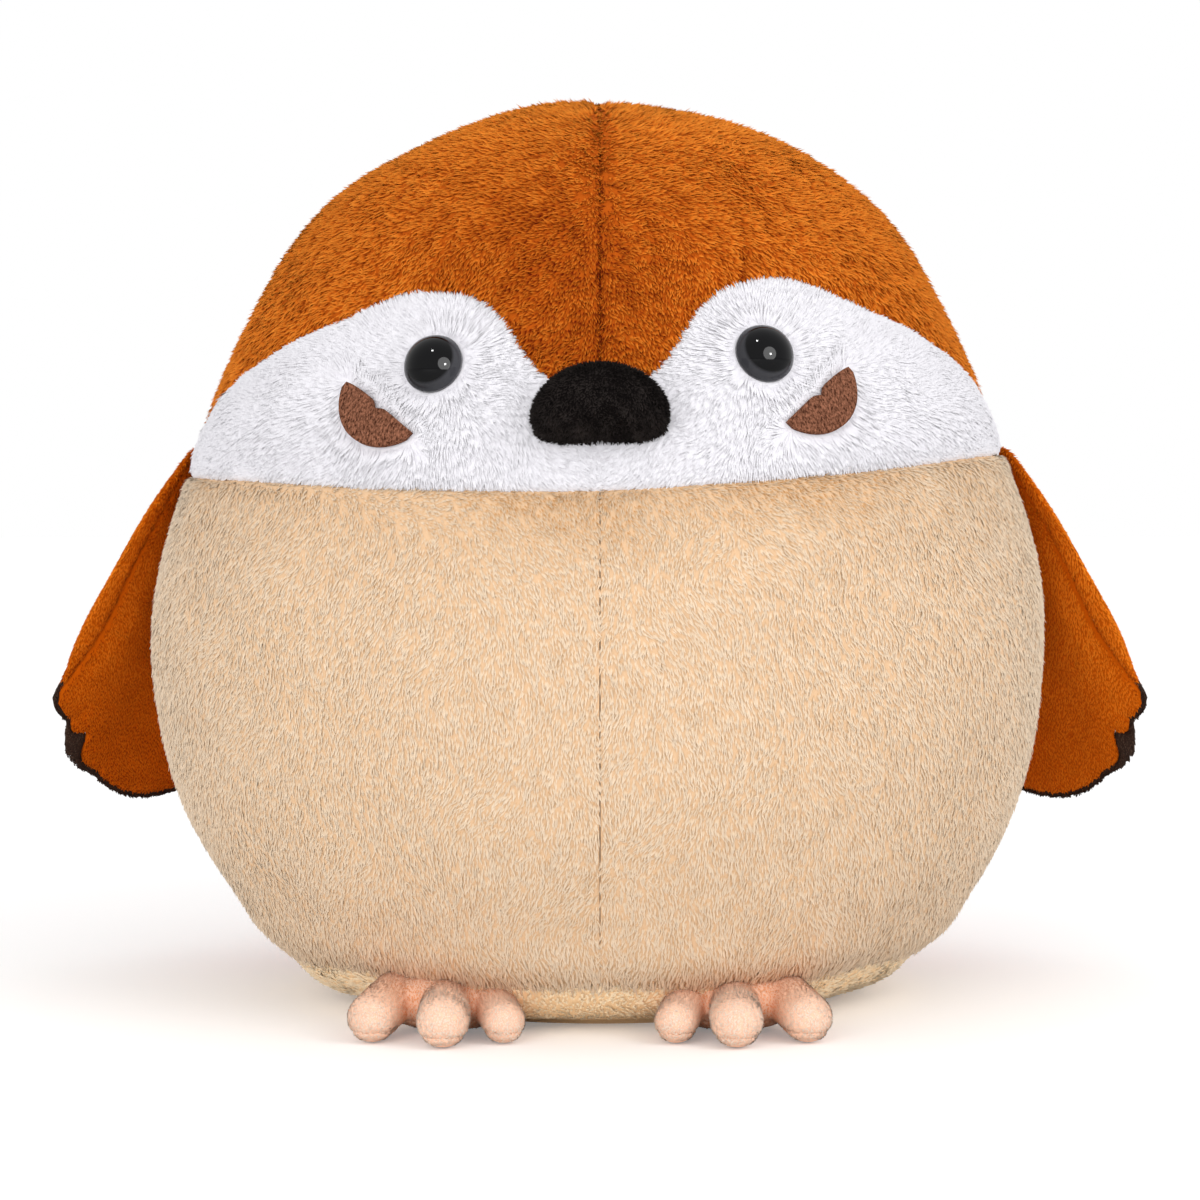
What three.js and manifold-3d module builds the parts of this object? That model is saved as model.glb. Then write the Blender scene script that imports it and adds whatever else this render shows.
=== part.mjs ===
// A round plush bird that sits on its base. Millimetres, +Z up. The origin is the centre of the flat
// rest face, the bird looks along -Y, and its own left side is +X.
//
// The body is one egg-like form cut into sewn panels. A place on it is given by an angle (0 at the
// front, 90 at the bird's left, 180 at the back) and by a latitude (-90 at the rim of the flat rest
// face, 0 at the widest height, 90 at the top of the head). Latitudes from -180 to -90 run across
// the rest face, from its centre to its rim.

import * as THREE from 'three';
import { mergeVertices } from 'three/addons/utils/BufferGeometryUtils.js';
import Module from 'manifold-3d';

const wasm = await Module();
wasm.setup();

// Body form
const bodyWidth = 384;
const bodyDepth = 338;
const bodyHeight = 382;
const widestHeight = 150;
const contactWidth = 192;
const crownFullness = 0.022;
const lowerTaper = 1.18;

// Cloth and seams
const plushThickness = 3;
const feltThickness = 1.6;
const limbClothThickness = 1.8;
const seamGap = 0.4;
const restGap = 0.3;
const fillingGap = 0.8;
const fillingMargin = 2;
const cutOvershoot = 1;

// Seam lines on the body. The head is sewn on with a slight tilt that lifts the bird's left side.
const headTilt = 1.6;
const baseSeamHeight = 20;
const neckSeamHeight = 228.5;
const neckSeamDip = 8;
const sideSeamAngle = 108;
const browAngles = [0, 8, 16, 28, 46, 64, 86, sideSeamAngle];
const browRises = [34, 45, 69, 78, 64, 47, 25, 0];

// Eyes
const eyeDiameter = 24;
const eyeRise = 8.5;
const eyeSink = 1.5;
const eyeAngle = 23.75;
const eyeHeight = 269.4;
const eyeShankDiameter = 5;
const eyeShankLength = 17;
const washerDiameter = 20;
const washerThickness = 2.2;
const washerBoreClearance = 0.3;
const pocketClearance = 0.8;

// Cheek patches: a half-moon with a straight side
const cheekAngle = 31.3;
const cheekHeight = 252.3;
const cheekChord = 43;
const cheekRise = 12.5;
const cheekTilt = 32.8;

// Beak
const beakWidth = 54;
const beakThickness = 29;
const beakReach = 28;
const beakHeight = 250;
const beakDroop = 5;
const beakMouthDrop = 3;
const beakClothThickness = 1.6;
const beakRoundness = 0.86;

// Feet, each with three toes that fan out from an ankle under the belly
const footSpacing = 115;
const feetShift = -4;
const ankleForward = 98;
const ankleHeight = 14;
const ankleWidth = 58;
const ankleLength = 36;
const ankleThickness = 26;
const soleSeamHeight = 5;
const footFlatDepth = 0.5;
const outerToeRadius = 9.3;
const outerToeNeck = 9.8;
const outerToeOffset = 23.5;
const outerToeForward = 127;
const middleToeRadius = 11;
const middleToeNeck = 10.6;
const middleToeForward = 136;
const innerToeRadius = 10.5;
const innerToeNeck = 10.8;
const innerToeOffset = 28.5;
const innerToeForward = 125;
const toes = [
  { radius: outerToeRadius, neck: outerToeNeck, sideways: -outerToeOffset, forward: outerToeForward },
  { radius: middleToeRadius, neck: middleToeNeck, sideways: 0, forward: middleToeForward },
  { radius: innerToeRadius, neck: innerToeNeck, sideways: innerToeOffset, forward: innerToeForward },
];
const toeRootSpread = 0.72;
const toeRootPoint = 0.7;

// Wings: a padded flap that hangs from the shoulder and twists open towards its tip
const wingLength = 170;
const wingFrontWidth = 44;
const wingBackWidth = 52;
const wingRootHalfWidth = 21;
const wingOuterBulge = 11;
const wingInnerBulge = 5.5;
const wingRimOverhang = 2.4;
const wingRootAngle = 106;
const wingRootHeight = 234;
const wingRootSweep = 74;
const wingTipSweep = 46;
const wingMidSweep = 62;
const wingLean = 20;
const wingBow = 3.5;
const wingUntwistLength = 120;
const wingTipHem = 108;
const wingTipScallops = 3;
const wingScallopDepth = 7;

// Wing outline: a shoulder, a front edge that flares at the hem, two lobes with a notch, a round tip
const wingShoulderLength = 60;
const wingShoulderCorner = 14;
const wingFlare = 7;
const wingFlareLength = 14;
const wingLobeInset = 9;
const wingLobeRise = 40;
const wingNotchInset = 30;
const wingNotchRise = 13;
const wingTipInset = 16;
const wingTipDrop = 6;
const wingBackWaist = 4;

// Tail
const tailLength = 64;
const tailRootWidth = 54;
const tailTipWidth = 70;
const tailBulge = 9;
const tailRootHeight = 92;
const tailLift = 14;
const tailSeat = 5;
const tailCorner = 12;

// Mesh resolution
const frontColumns = 11;
const backColumns = 7;
const rimRows = 2;
const trunkRows = 6;
const faceRows = 3;
const crownRows = 5;
const smallRound = 18;
const toeRound = 8;
const padSteps = [1, 0.84, 0.52];
const padCurve = 2.4;
const fillingPlumpness = 0.92;
const domeSteps = 5;
const moonSegments = 14;
const outlineSteps = 3;

// Colours and finishes
const plush = (color) => new THREE.MeshStandardMaterial({ color, roughness: 0.95, metalness: 0 });
const rustPlush = plush(0xb35a1e);
const whiteFur = plush(0xeceaf0);
const beigePlush = plush(0xdcb88c);
const blackPlush = plush(0x161517);
const brownFelt = plush(0x6b4636);
const darkBrownPlush = plush(0x3a2822);
const peachPlush = plush(0xf2c4a6);
const paddingFibre = plush(0xf3f1ec);
const blackGlass = new THREE.MeshStandardMaterial({ color: 0x0b0c10, roughness: 0.06, metalness: 0 });
const milkyPlastic = new THREE.MeshStandardMaterial({ color: 0xe4e4e0, roughness: 0.45, metalness: 0 });

const bird = new THREE.Group();
const radians = THREE.MathUtils.degToRad;
const degrees = THREE.MathUtils.radToDeg;
const lerp = THREE.MathUtils.lerp;
const steps = (count) => Array.from({ length: count + 1 }, (_, i) => i / count);

// The body form

const depthRatio = bodyDepth / bodyWidth;
const crownHeight = bodyHeight - widestHeight;

function profile(latitude) {
  if (latitude <= -90) {
    return { radius: (contactWidth / 2) * ((latitude + 180) / 90), height: 0 };
  }
  const sine = Math.sin(radians(latitude));
  const cosine = Math.cos(radians(latitude));
  if (latitude < 0) {
    const swell = (bodyWidth - contactWidth) / 2;
    const radius = contactWidth / 2 + swell * Math.max(cosine, 0) ** lowerTaper;
    return { radius, height: widestHeight * (1 + sine) };
  }
  const fullness = crownFullness * Math.sin(2 * Math.PI * sine * sine);
  return { radius: (bodyWidth / 2) * (cosine - fullness), height: widestHeight + crownHeight * sine };
}

function latitudeAt(height) {
  const rise = height - widestHeight;
  return degrees(Math.asin(rise < 0 ? rise / widestHeight : rise / crownHeight));
}

function bodyPoint(angle, latitude) {
  const { radius, height } = profile(latitude);
  const turn = radians(angle);
  return new THREE.Vector3(radius * Math.sin(turn), -depthRatio * radius * Math.cos(turn), height);
}

function bodyNormal(angle, latitude) {
  const small = 0.01;
  if (latitude <= small - 90) return new THREE.Vector3(0, 0, -1);
  if (latitude >= 90 - small) return new THREE.Vector3(0, 0, 1);
  const across = bodyPoint(angle + small, latitude).sub(bodyPoint(angle - small, latitude));
  const up = bodyPoint(angle, latitude + small).sub(bodyPoint(angle, latitude - small));
  return across.cross(up).normalize();
}

function skinPoint(angle, latitude, offset) {
  return bodyPoint(angle, latitude).addScaledVector(bodyNormal(angle, latitude), offset);
}

// Closed geometry from loose faces

function closedGeometry(points, faces) {
  const loose = new THREE.BufferGeometry();
  const numbers = points.flatMap((p) => [p.x, p.y, p.z]);
  loose.setAttribute('position', new THREE.Float32BufferAttribute(numbers, 3));
  loose.setIndex(faces.flat());
  return dropEmptyFaces(mergeVertices(loose, 1e-4));
}

function dropEmptyFaces(geometry) {
  const index = geometry.index.array;
  const kept = [];
  for (let i = 0; i < index.length; i += 3) {
    const [a, b, c] = [index[i], index[i + 1], index[i + 2]];
    if (a !== b && b !== c && c !== a) kept.push(a, b, c);
  }
  geometry.setIndex(kept);
  return geometry;
}

function quad(a, b, c, d) {
  return [[a, b, c], [a, c, d]];
}

// The two faces of a cell run the other way on the bird's right side, so both sides mirror
function cell(a, b, c, d, isRight) {
  return isRight ? quad(b, c, d, a) : quad(a, b, c, d);
}

const isRightSide = (column, next) => column[1].x + next[1].x < 0;

// The outside of a grid of columns that run upwards, where the last column meets the first
function ringSurface(columns) {
  const rows = columns[0].length;
  const faces = [];
  for (let i = 0; i < columns.length; i += 1) {
    const next = (i + 1) % columns.length;
    const isRight = isRightSide(columns[i], columns[next]);
    for (let j = 0; j < rows - 1; j += 1) {
      faces.push(...cell(i * rows + j, next * rows + j, next * rows + j + 1, i * rows + j + 1, isRight));
    }
  }
  return { points: columns.flat(), faces };
}

// A sheet of cloth between two matching grids of columns, closed round its edge
function clothShell(outer, inner, isRing) {
  const rows = outer[0].length;
  const count = outer.length;
  const at = (i, j) => (i % count) * rows + j;
  const under = (i, j) => count * rows + at(i, j);
  const faces = [];
  const last = isRing ? count : count - 1;
  for (let i = 0; i < last; i += 1) {
    const isRight = isRightSide(outer[i], outer[(i + 1) % count]);
    for (let j = 0; j < rows - 1; j += 1) {
      faces.push(...cell(at(i, j), at(i + 1, j), at(i + 1, j + 1), at(i, j + 1), isRight));
      const inside = cell(under(i, j), under(i + 1, j), under(i + 1, j + 1), under(i, j + 1), isRight);
      faces.push(...inside.map(([a, b, c]) => [b, a, c]));
    }
    faces.push(...quad(at(i + 1, 0), at(i, 0), under(i, 0), under(i + 1, 0)));
    faces.push(...quad(at(i, rows - 1), at(i + 1, rows - 1), under(i + 1, rows - 1), under(i, rows - 1)));
  }
  for (let j = 0; j < rows - 1 && !isRing; j += 1) {
    faces.push(...quad(at(0, j), at(0, j + 1), under(0, j + 1), under(0, j)));
    faces.push(...quad(at(last, j + 1), at(last, j), under(last, j), under(last, j + 1)));
  }
  return closedGeometry([...outer.flat(), ...inner.flat()], faces);
}

// Booleans

function toSolid(geometry) {
  const bare = geometry.clone();
  bare.deleteAttribute('normal');
  bare.deleteAttribute('uv');
  const merged = dropEmptyFaces(mergeVertices(bare, 1e-4));
  const mesh = new wasm.Mesh({
    numProp: 3,
    vertProperties: new Float32Array(merged.attributes.position.array),
    triVerts: new Uint32Array(merged.index.array),
  });
  return new wasm.Manifold(mesh);
}

function toGeometry(solid) {
  const mesh = solid.getMesh();
  const geometry = new THREE.BufferGeometry();
  geometry.setAttribute('position', new THREE.BufferAttribute(new Float32Array(mesh.vertProperties), 3));
  geometry.setIndex(Array.from(mesh.triVerts));
  return geometry;
}

// A turned solid whose axis is Z, from an outline of [radius, place along the axis]
function latheSolid(outline, segments) {
  const points = outline.map(([radius, along]) => new THREE.Vector2(radius, along));
  return toSolid(new THREE.LatheGeometry(points, segments).rotateX(Math.PI / 2));
}

function boxSolid(low, high) {
  const size = new THREE.Vector3().subVectors(high, low);
  const box = new THREE.BoxGeometry(size.x, size.y, size.z);
  return toSolid(box.translate((low.x + high.x) / 2, (low.y + high.y) / 2, (low.z + high.z) / 2));
}

function moved(solid, matrix) {
  return toSolid(toGeometry(solid).applyMatrix4(matrix));
}

function reshaped(solid, shapePoint) {
  const geometry = toGeometry(solid);
  const position = geometry.attributes.position;
  const point = new THREE.Vector3();
  for (let i = 0; i < position.count; i += 1) {
    shapePoint(point.fromBufferAttribute(position, i));
    position.setXYZ(i, point.x, point.y, point.z);
  }
  return toSolid(geometry);
}

function mirrored(solid) {
  const geometry = toGeometry(solid).scale(-1, 1, 1);
  const index = geometry.index.array;
  for (let i = 0; i < index.length; i += 3) [index[i], index[i + 1]] = [index[i + 1], index[i]];
  return toSolid(geometry);
}

function addPiece(name, solid, material) {
  const mesh = new THREE.Mesh(toGeometry(solid), material);
  mesh.name = name;
  bird.add(mesh);
}

function addPair(name, { left, right }, material, ending = '') {
  addPiece(`${name}_left${ending}`, left, material);
  addPiece(`${name}_right${ending}`, right, material);
}

// Seam lines

const frontAngles = steps(frontColumns).map((t) => t * sideSeamAngle);
const backAngles = steps(backColumns).map((t) => lerp(sideSeamAngle, 180, t));
const browCurve = new THREE.CubicInterpolant(browAngles, browRises, 1, new Float32Array(1));

const neckRadius = profile(latitudeAt(neckSeamHeight)).radius;

// Angles run from 0 to 180 on both sides of the bird, and side is 1 on its left and -1 on its right

function tiltRise(angle, side) {
  return side * Math.tan(radians(headTilt)) * neckRadius * Math.sin(radians(angle));
}

function baseLatitude() {
  return latitudeAt(baseSeamHeight);
}

function neckHeight(angle, side) {
  const dip = neckSeamDip * Math.max(0, Math.cos(radians(angle))) ** 3;
  return neckSeamHeight - dip + tiltRise(angle, side);
}

function neckLatitude(angle, side) {
  return latitudeAt(neckHeight(angle, side));
}

function browLatitude(angle, side) {
  const rise = angle < sideSeamAngle ? browCurve.evaluate(angle)[0] : 0;
  return latitudeAt(neckHeight(angle, side) + Math.max(rise, 0));
}

function crownLow(angle, side) {
  return angle < sideSeamAngle ? browLatitude(angle, side) : neckLatitude(angle, side);
}

// Body panels. Every edge stands back from its seam line by half of the seam gap.

function degreesFor(length, angle, latitude) {
  const reach = bodyPoint(angle, latitude + 0.5).distanceTo(bodyPoint(angle, latitude - 0.5));
  return length / reach;
}

function panelColumn(angle, side, low, high, rows, offset) {
  const start = low(angle, side);
  const end = high(angle, side);
  const lowest = start + degreesFor(seamGap / 2, angle, start);
  const highest = end < 90 ? end - degreesFor(seamGap / 2, angle, end) : end;
  const middle = (lowest + highest) / 2;
  return steps(rows).map((t) => {
    const latitude = lowest < highest ? lerp(lowest, highest, t) : middle;
    const point = skinPoint(angle, latitude, offset);
    point.x = Math.max(point.x, seamGap / 2);
    return point;
  });
}

// The panels of one kind: built on the bird's left, and mirrored where side is -1
function bodyPanel(angles, side, low, high, rows) {
  const sideways = degrees(seamGap / 2 / (bodyWidth / 2));
  const inset = angles.map((angle) => {
    if (angle !== sideSeamAngle) return angle;
    return angle === angles[0] ? angle + sideways : angle - sideways;
  });
  const grid = (offset) => inset.map((angle) => panelColumn(angle, side, low, high, rows, offset));
  return toSolid(clothShell(grid(0), grid(-plushThickness), false));
}

const topOfHead = () => 90;
const allAngles = [...frontAngles, ...backAngles.slice(1)];

// The whole body form as one closed solid, on the same rows and columns as the panels

const ringAngles = [...allAngles.slice(1, -1).reverse().map((angle) => -angle), ...allAngles];

function formColumn(signedAngle, offset) {
  const angle = Math.abs(signedAngle);
  const side = Math.sign(signedAngle);
  const stops = [-90, baseLatitude(), neckLatitude(angle, side), crownLow(angle, side), 90];
  const rows = [rimRows, trunkRows, faceRows, crownRows];
  const latitudes = [-180, ...rows.flatMap((count, k) =>
    steps(count).slice(k === 0 ? 0 : 1).map((t) => lerp(stops[k], stops[k + 1], t)))];
  return latitudes.map((latitude) => skinPoint(signedAngle, latitude, offset));
}

function bodyForm(offset) {
  const { points, faces } = ringSurface(ringAngles.map((angle) => formColumn(angle, offset)));
  return toSolid(closedGeometry(points, faces));
}

// What is built for the bird's right side is built on the left, and mirrored when it is added, so the
// body form that it is cut by is mirrored too
const forSide = (form, side) => (side < 0 ? mirrored(form) : form);
const onBothSides = (build) => ({ left: build(1), right: mirrored(build(-1)) });

const bodyClearance = bodyForm(restGap);
const stuffingForm = bodyForm(-plushThickness - restGap);
const feltForm = bodyForm(restGap + feltThickness);
const seated = (solid, side = 1) => solid.subtract(forSide(bodyClearance, side));

// Base panel: the flat rest face with a rim that turns up to the base seam

function basePanelSolid() {
  const edge = baseLatitude();
  const top = edge - degreesFor(seamGap / 2, 0, edge);
  const latitudes = [-180, ...steps(rimRows).map((t) => lerp(-90, top, t))];
  const grid = (offset) => ringAngles.map((angle) =>
    latitudes.map((latitude) => skinPoint(angle, latitude, offset)));
  return toSolid(clothShell(grid(0), grid(-plushThickness), true));
}

// A frame that stands on the skin: X runs sideways, Y runs up and Z points out

function standOn(angle, height) {
  const latitude = latitudeAt(height);
  const out = bodyNormal(angle, latitude);
  const up = new THREE.Vector3(0, 0, 1).projectOnPlane(out).normalize();
  const sideways = new THREE.Vector3().crossVectors(up, out);
  return new THREE.Matrix4().makeBasis(sideways, up, out).setPosition(bodyPoint(angle, latitude));
}

// Eyes: a domed head, a shank through the cloth and a washer behind it

const eyeFrame = (side) => standOn(eyeAngle, eyeHeight + tiltRise(eyeAngle, side));

function eyeSolid(side) {
  const radius = eyeDiameter / 2;
  const dome = steps(domeSteps).map((t) => {
    const turn = (t * Math.PI) / 2;
    return [t < 1 ? radius * Math.cos(turn) : 0, eyeRise * Math.sin(turn)];
  });
  const head = latheSolid([[0, -eyeSink], [radius, -eyeSink], ...dome], smallRound);
  const shankRadius = eyeShankDiameter / 2;
  const top = eyeRise / 2;
  const shank = latheSolid(
    [[0, -eyeShankLength], [shankRadius, -eyeShankLength], [shankRadius, top], [0, top]], toeRound);
  return seated(moved(head, eyeFrame(side)), side).add(moved(shank, eyeFrame(side)));
}

function roundBar(side, diameter, low, high) {
  const radius = diameter / 2;
  const bar = latheSolid([[0, low], [radius, low], [radius, high], [0, high]], smallRound);
  return moved(bar, eyeFrame(side));
}

function eyeBore(side) {
  return roundBar(side, eyeShankDiameter + 2 * washerBoreClearance, -eyeShankLength - cutOvershoot, eyeRise);
}

function eyeWasherSolid(side) {
  const disc = roundBar(side, washerDiameter, -plushThickness - washerThickness, 0);
  return disc.subtract(eyeBore(side)).intersect(forSide(stuffingForm, side));
}

function facePanel(side) {
  return bodyPanel(frontAngles, side, neckLatitude, browLatitude, faceRows).subtract(eyeBore(side));
}

// Stuffing: fills the skin, with a pocket behind each eye

function stuffingSolid() {
  const deep = -eyeShankLength - pocketClearance;
  const pocket = (side) => roundBar(side, washerDiameter + 2 * pocketClearance, deep, cutOvershoot);
  return stuffingForm.subtract(pocket(1)).subtract(mirrored(pocket(-1)));
}

// Cheek patches: a half-moon of felt that follows the skin

function cheekSolid(side) {
  const half = cheekChord / 2;
  const radius = (half * half + cheekRise * cheekRise) / (2 * cheekRise);
  const reach = Math.asin(half / radius);
  const moon = new THREE.Shape();
  moon.absarc(0, radius - cheekRise, radius, -Math.PI / 2 - reach, -Math.PI / 2 + reach, false);
  moon.closePath();
  const depth = cheekChord / 2;
  const block = new THREE.ExtrudeGeometry(moon, { depth, bevelEnabled: false, curveSegments: moonSegments });
  block.translate(0, 0, -depth / 2).rotateZ(radians(cheekTilt + side * headTilt));
  block.applyMatrix4(standOn(cheekAngle, cheekHeight + tiltRise(cheekAngle, side)));
  return seated(toSolid(block).intersect(forSide(feltForm, side)), side);
}

// Beak: a drooping bean of two panels with a mouth seam, stuffed

const beakFrame = standOn(0, beakHeight).multiply(new THREE.Matrix4().makeRotationZ(radians(headTilt)));
const droopAt = (sideways) => beakDroop * (sideways / (beakWidth / 2)) ** 2;

function beakForm(inset) {
  const ball = new THREE.SphereGeometry(1, smallRound, smallRound / 2);
  const half = new THREE.Vector3(beakWidth / 2 - inset, beakThickness / 2 - inset, beakReach - inset);
  const full = (value) => Math.sign(value) * Math.abs(value) ** beakRoundness;
  return reshaped(toSolid(ball), (p) => {
    p.set(full(p.x), full(p.y), full(p.z)).multiply(half);
    p.y -= droopAt(p.x);
  });
}

// All that lies above or below the mouth seam, which droops as the beak does
function mouthSide(isAbove) {
  const far = 2 * beakWidth;
  const edge = isAbove ? seamGap / 2 : -seamGap / 2;
  const side = new THREE.Shape();
  side.moveTo(-far, isAbove ? far : -far);
  steps(2 * outlineSteps).forEach((t) => {
    const sideways = lerp(-beakWidth, beakWidth, t);
    side.lineTo(sideways, edge - beakMouthDrop - droopAt(sideways));
  });
  side.lineTo(far, isAbove ? far : -far);
  side.closePath();
  const block = new THREE.ExtrudeGeometry(side, { depth: 2 * far, bevelEnabled: false });
  return toSolid(block.translate(0, 0, -far));
}

const beakSkin = beakForm(0).subtract(beakForm(beakClothThickness));
const onBeak = (solid) => seated(moved(solid, beakFrame));

// Feet

function toeSolid({ radius, neck, sideways, forward }, inset) {
  const ball = new THREE.Vector3(sideways, -forward, radius - footFlatDepth);
  const root = new THREE.Vector3(sideways * toeRootSpread, -ankleForward, ankleHeight);
  const length = ball.distanceTo(root);
  const thick = radius - inset;
  const thin = neck - inset;
  const tip = steps(2).map((t) => {
    const turn = (t * Math.PI) / 2;
    return [t < 1 ? thick * Math.cos(turn) : 0, length + thick * Math.sin(turn)];
  });
  const outline = [[0, -thin * toeRootPoint], [thin, 0], ...tip];
  const turn = new THREE.Quaternion().setFromUnitVectors(
    new THREE.Vector3(0, 0, 1), new THREE.Vector3().subVectors(ball, root).normalize());
  const place = new THREE.Matrix4().compose(root, turn, new THREE.Vector3(1, 1, 1));
  return moved(latheSolid(outline, toeRound), place);
}

function footForm(inset) {
  const ankle = new THREE.SphereGeometry(1, toeRound, 5);
  ankle.scale(ankleWidth / 2 - inset, ankleLength / 2 - inset, ankleThickness / 2 - inset);
  ankle.translate(0, -ankleForward, ankleThickness / 2 - footFlatDepth);
  const joined = toes.reduce((solid, toe) => solid.add(toeSolid(toe, inset)), toSolid(ankle));
  const far = 3 * footSpacing;
  return joined.subtract(boxSolid(new THREE.Vector3(-far, -far, -far), new THREE.Vector3(far, far, inset)));
}

function footPieces(side) {
  const place = (solid) => {
    const turned = side < 0 ? mirrored(solid) : solid;
    const shift = new THREE.Matrix4().makeTranslation((side * footSpacing) / 2 + feetShift, 0, 0);
    return seated(moved(turned, shift));
  };
  const skin = footForm(0).subtract(footForm(limbClothThickness));
  const far = 3 * footSpacing;
  const below = boxSolid(
    new THREE.Vector3(-far, -far, -far), new THREE.Vector3(far, far, soleSeamHeight + seamGap / 2));
  const above = boxSolid(
    new THREE.Vector3(-far, -far, soleSeamHeight - seamGap / 2), new THREE.Vector3(far, far, far));
  return {
    top: place(skin.subtract(below)),
    sole: place(skin.subtract(above)),
    filling: place(footForm(limbClothThickness + fillingGap)),
  };
}

// Padded flaps, such as a wing or the tail. They are built flat, with X across, Y away from the root
// and Z out of the outer face, as rings of one outline that draw in towards a centre while they rise.

function roundPoints(shape) {
  const points = shape.getPoints(outlineSteps).slice(0, -1);
  return THREE.ShapeUtils.area(points) < 0 ? points.reverse() : points;
}

function ringsOf(outline, centre, margin, rise) {
  const reach = outline.map((p) => p.distanceTo(centre));
  return padSteps.map((step) => outline.map((p, i) => {
    const share = step * (1 - margin / reach[i]);
    const flat = new THREE.Vector2().lerpVectors(centre, p, share);
    return new THREE.Vector3(flat.x, flat.y, rise(step));
  }));
}

function domeFaces(rings, tip, firstIndex, isOutward) {
  const count = rings[0].length;
  const faces = [];
  rings.forEach((ring, k) => {
    for (let i = 0; i < count; i += 1) {
      const next = (i + 1) % count;
      const here = firstIndex + k * count;
      if (k < rings.length - 1) {
        faces.push(...quad(here + i, here + next, here + count + next, here + count + i));
      } else {
        faces.push([here + i, here + next, tip]);
      }
    }
  });
  return isOutward ? faces : faces.map(([a, b, c]) => [b, a, c]);
}

// A closed solid between an upper and a lower dome on the same outline
function domedSolid(outline, centre, margin, upper, lower) {
  const top = ringsOf(outline, centre, margin, upper);
  const bottom = ringsOf(outline, centre, margin, lower);
  const count = outline.length;
  const total = count * padSteps.length;
  const points = [...top.flat(), ...bottom.flat(), new THREE.Vector3(centre.x, centre.y, upper(0)),
    new THREE.Vector3(centre.x, centre.y, lower(0))];
  const faces = [
    ...domeFaces(top, 2 * total, 0, true),
    ...domeFaces(bottom, 2 * total + 1, total, false),
  ];
  for (let i = 0; i < count; i += 1) {
    const next = (i + 1) % count;
    faces.push(...quad(total + i, total + next, next, i));
  }
  return toSolid(closedGeometry(points, faces));
}

function flapPieces(outline, centre, outerBulge, innerBulge, rimOverhang) {
  const rim = seamGap / 2;
  const swell = (bulge, step) => rim + bulge * (1 - step ** padCurve);
  const cloth = limbClothThickness;
  const outer = domedSolid(outline, centre, 0,
    (s) => swell(outerBulge - cloth, s) + cloth, (s) => swell(outerBulge - cloth, s));
  const inner = domedSolid(outline, centre, rimOverhang,
    (s) => -swell(innerBulge - cloth, s), (s) => -swell(innerBulge - cloth, s) - cloth);
  const margin = rimOverhang + 2 * fillingGap + fillingMargin;
  const filling = domedSolid(outline, centre, margin,
    (s) => swell(outerBulge - cloth, s * fillingPlumpness) - fillingGap,
    (s) => fillingGap - swell(innerBulge - cloth, s * fillingPlumpness));
  return { outer, inner, filling };
}

// Wings

function wingOutline() {
  const front = wingFrontWidth;
  const back = -wingBackWidth;
  const root = wingRootHalfWidth;
  const end = wingLength;
  const shape = new THREE.Shape();
  shape.moveTo(-root, 0);
  shape.lineTo(root, 0);
  const lobe = front - wingLobeInset;
  shape.quadraticCurveTo(front, wingShoulderCorner, front, wingShoulderLength);
  shape.lineTo(front, wingTipHem);
  shape.quadraticCurveTo(front + wingFlare, wingTipHem + wingFlareLength, lobe, end - wingLobeRise);
  shape.quadraticCurveTo(lobe, end - wingLobeRise / 2, front - wingNotchInset, end - wingNotchRise);
  shape.quadraticCurveTo(-wingTipDrop, end + wingTipDrop, back + wingTipInset, end);
  shape.quadraticCurveTo(back - wingBackWaist, end - wingTipDrop, back, end - wingLobeRise);
  shape.quadraticCurveTo(back, end / 2, back + wingBackWaist, wingShoulderLength);
  shape.quadraticCurveTo(back + wingBackWaist, wingShoulderCorner, -root, 0);
  return roundPoints(shape);
}

function wingTipRegion() {
  const far = wingLength;
  const width = (wingFrontWidth + wingBackWidth) / wingTipScallops;
  const region = new THREE.Shape();
  region.moveTo(-far, wingTipHem);
  region.lineTo(-wingBackWidth, wingTipHem);
  for (let i = 0; i < wingTipScallops; i += 1) {
    const from = -wingBackWidth + i * width;
    region.quadraticCurveTo(from + width / 2, wingTipHem + 2 * wingScallopDepth, from + width, wingTipHem);
  }
  region.lineTo(far, wingTipHem);
  region.lineTo(far, 2 * far);
  region.lineTo(-far, 2 * far);
  region.closePath();
  const depth = 4 * wingOuterBulge;
  const block = new THREE.ExtrudeGeometry(region, { depth, bevelEnabled: false, curveSegments: 6 });
  return toSolid(block.translate(0, 0, -wingOuterBulge));
}

const horizontal = (sweep) => {
  const turn = radians(sweep);
  return {
    out: new THREE.Vector3(Math.sin(turn), Math.cos(turn), 0),
    back: new THREE.Vector3(-Math.cos(turn), Math.sin(turn), 0),
  };
};

const wingRootStandoff = limbClothThickness + seamGap / 2 + restGap;
const wingRoot = bodyPoint(wingRootAngle, latitudeAt(wingRootHeight))
  .addScaledVector(horizontal(wingRootSweep).out, wingRootStandoff);
const wingDown = horizontal(wingMidSweep).out.multiplyScalar(Math.sin(radians(wingLean)))
  .add(new THREE.Vector3(0, 0, -Math.cos(radians(wingLean))));

function onWing(point) {
  const untwist = THREE.MathUtils.smoothstep(point.y, 0, wingUntwistLength);
  const across = horizontal(lerp(wingRootSweep, wingTipSweep, untwist)).back;
  const out = new THREE.Vector3().crossVectors(wingDown, across).normalize();
  const place = wingRoot.clone().addScaledVector(wingDown, point.y);
  const bow = wingBow * Math.sin(Math.PI * THREE.MathUtils.clamp(point.y / wingLength, 0, 1));
  place.addScaledVector(horizontal(wingMidSweep).out, bow);
  place.addScaledVector(across, -point.x).addScaledVector(out, point.z);
  point.copy(place);
}

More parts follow.
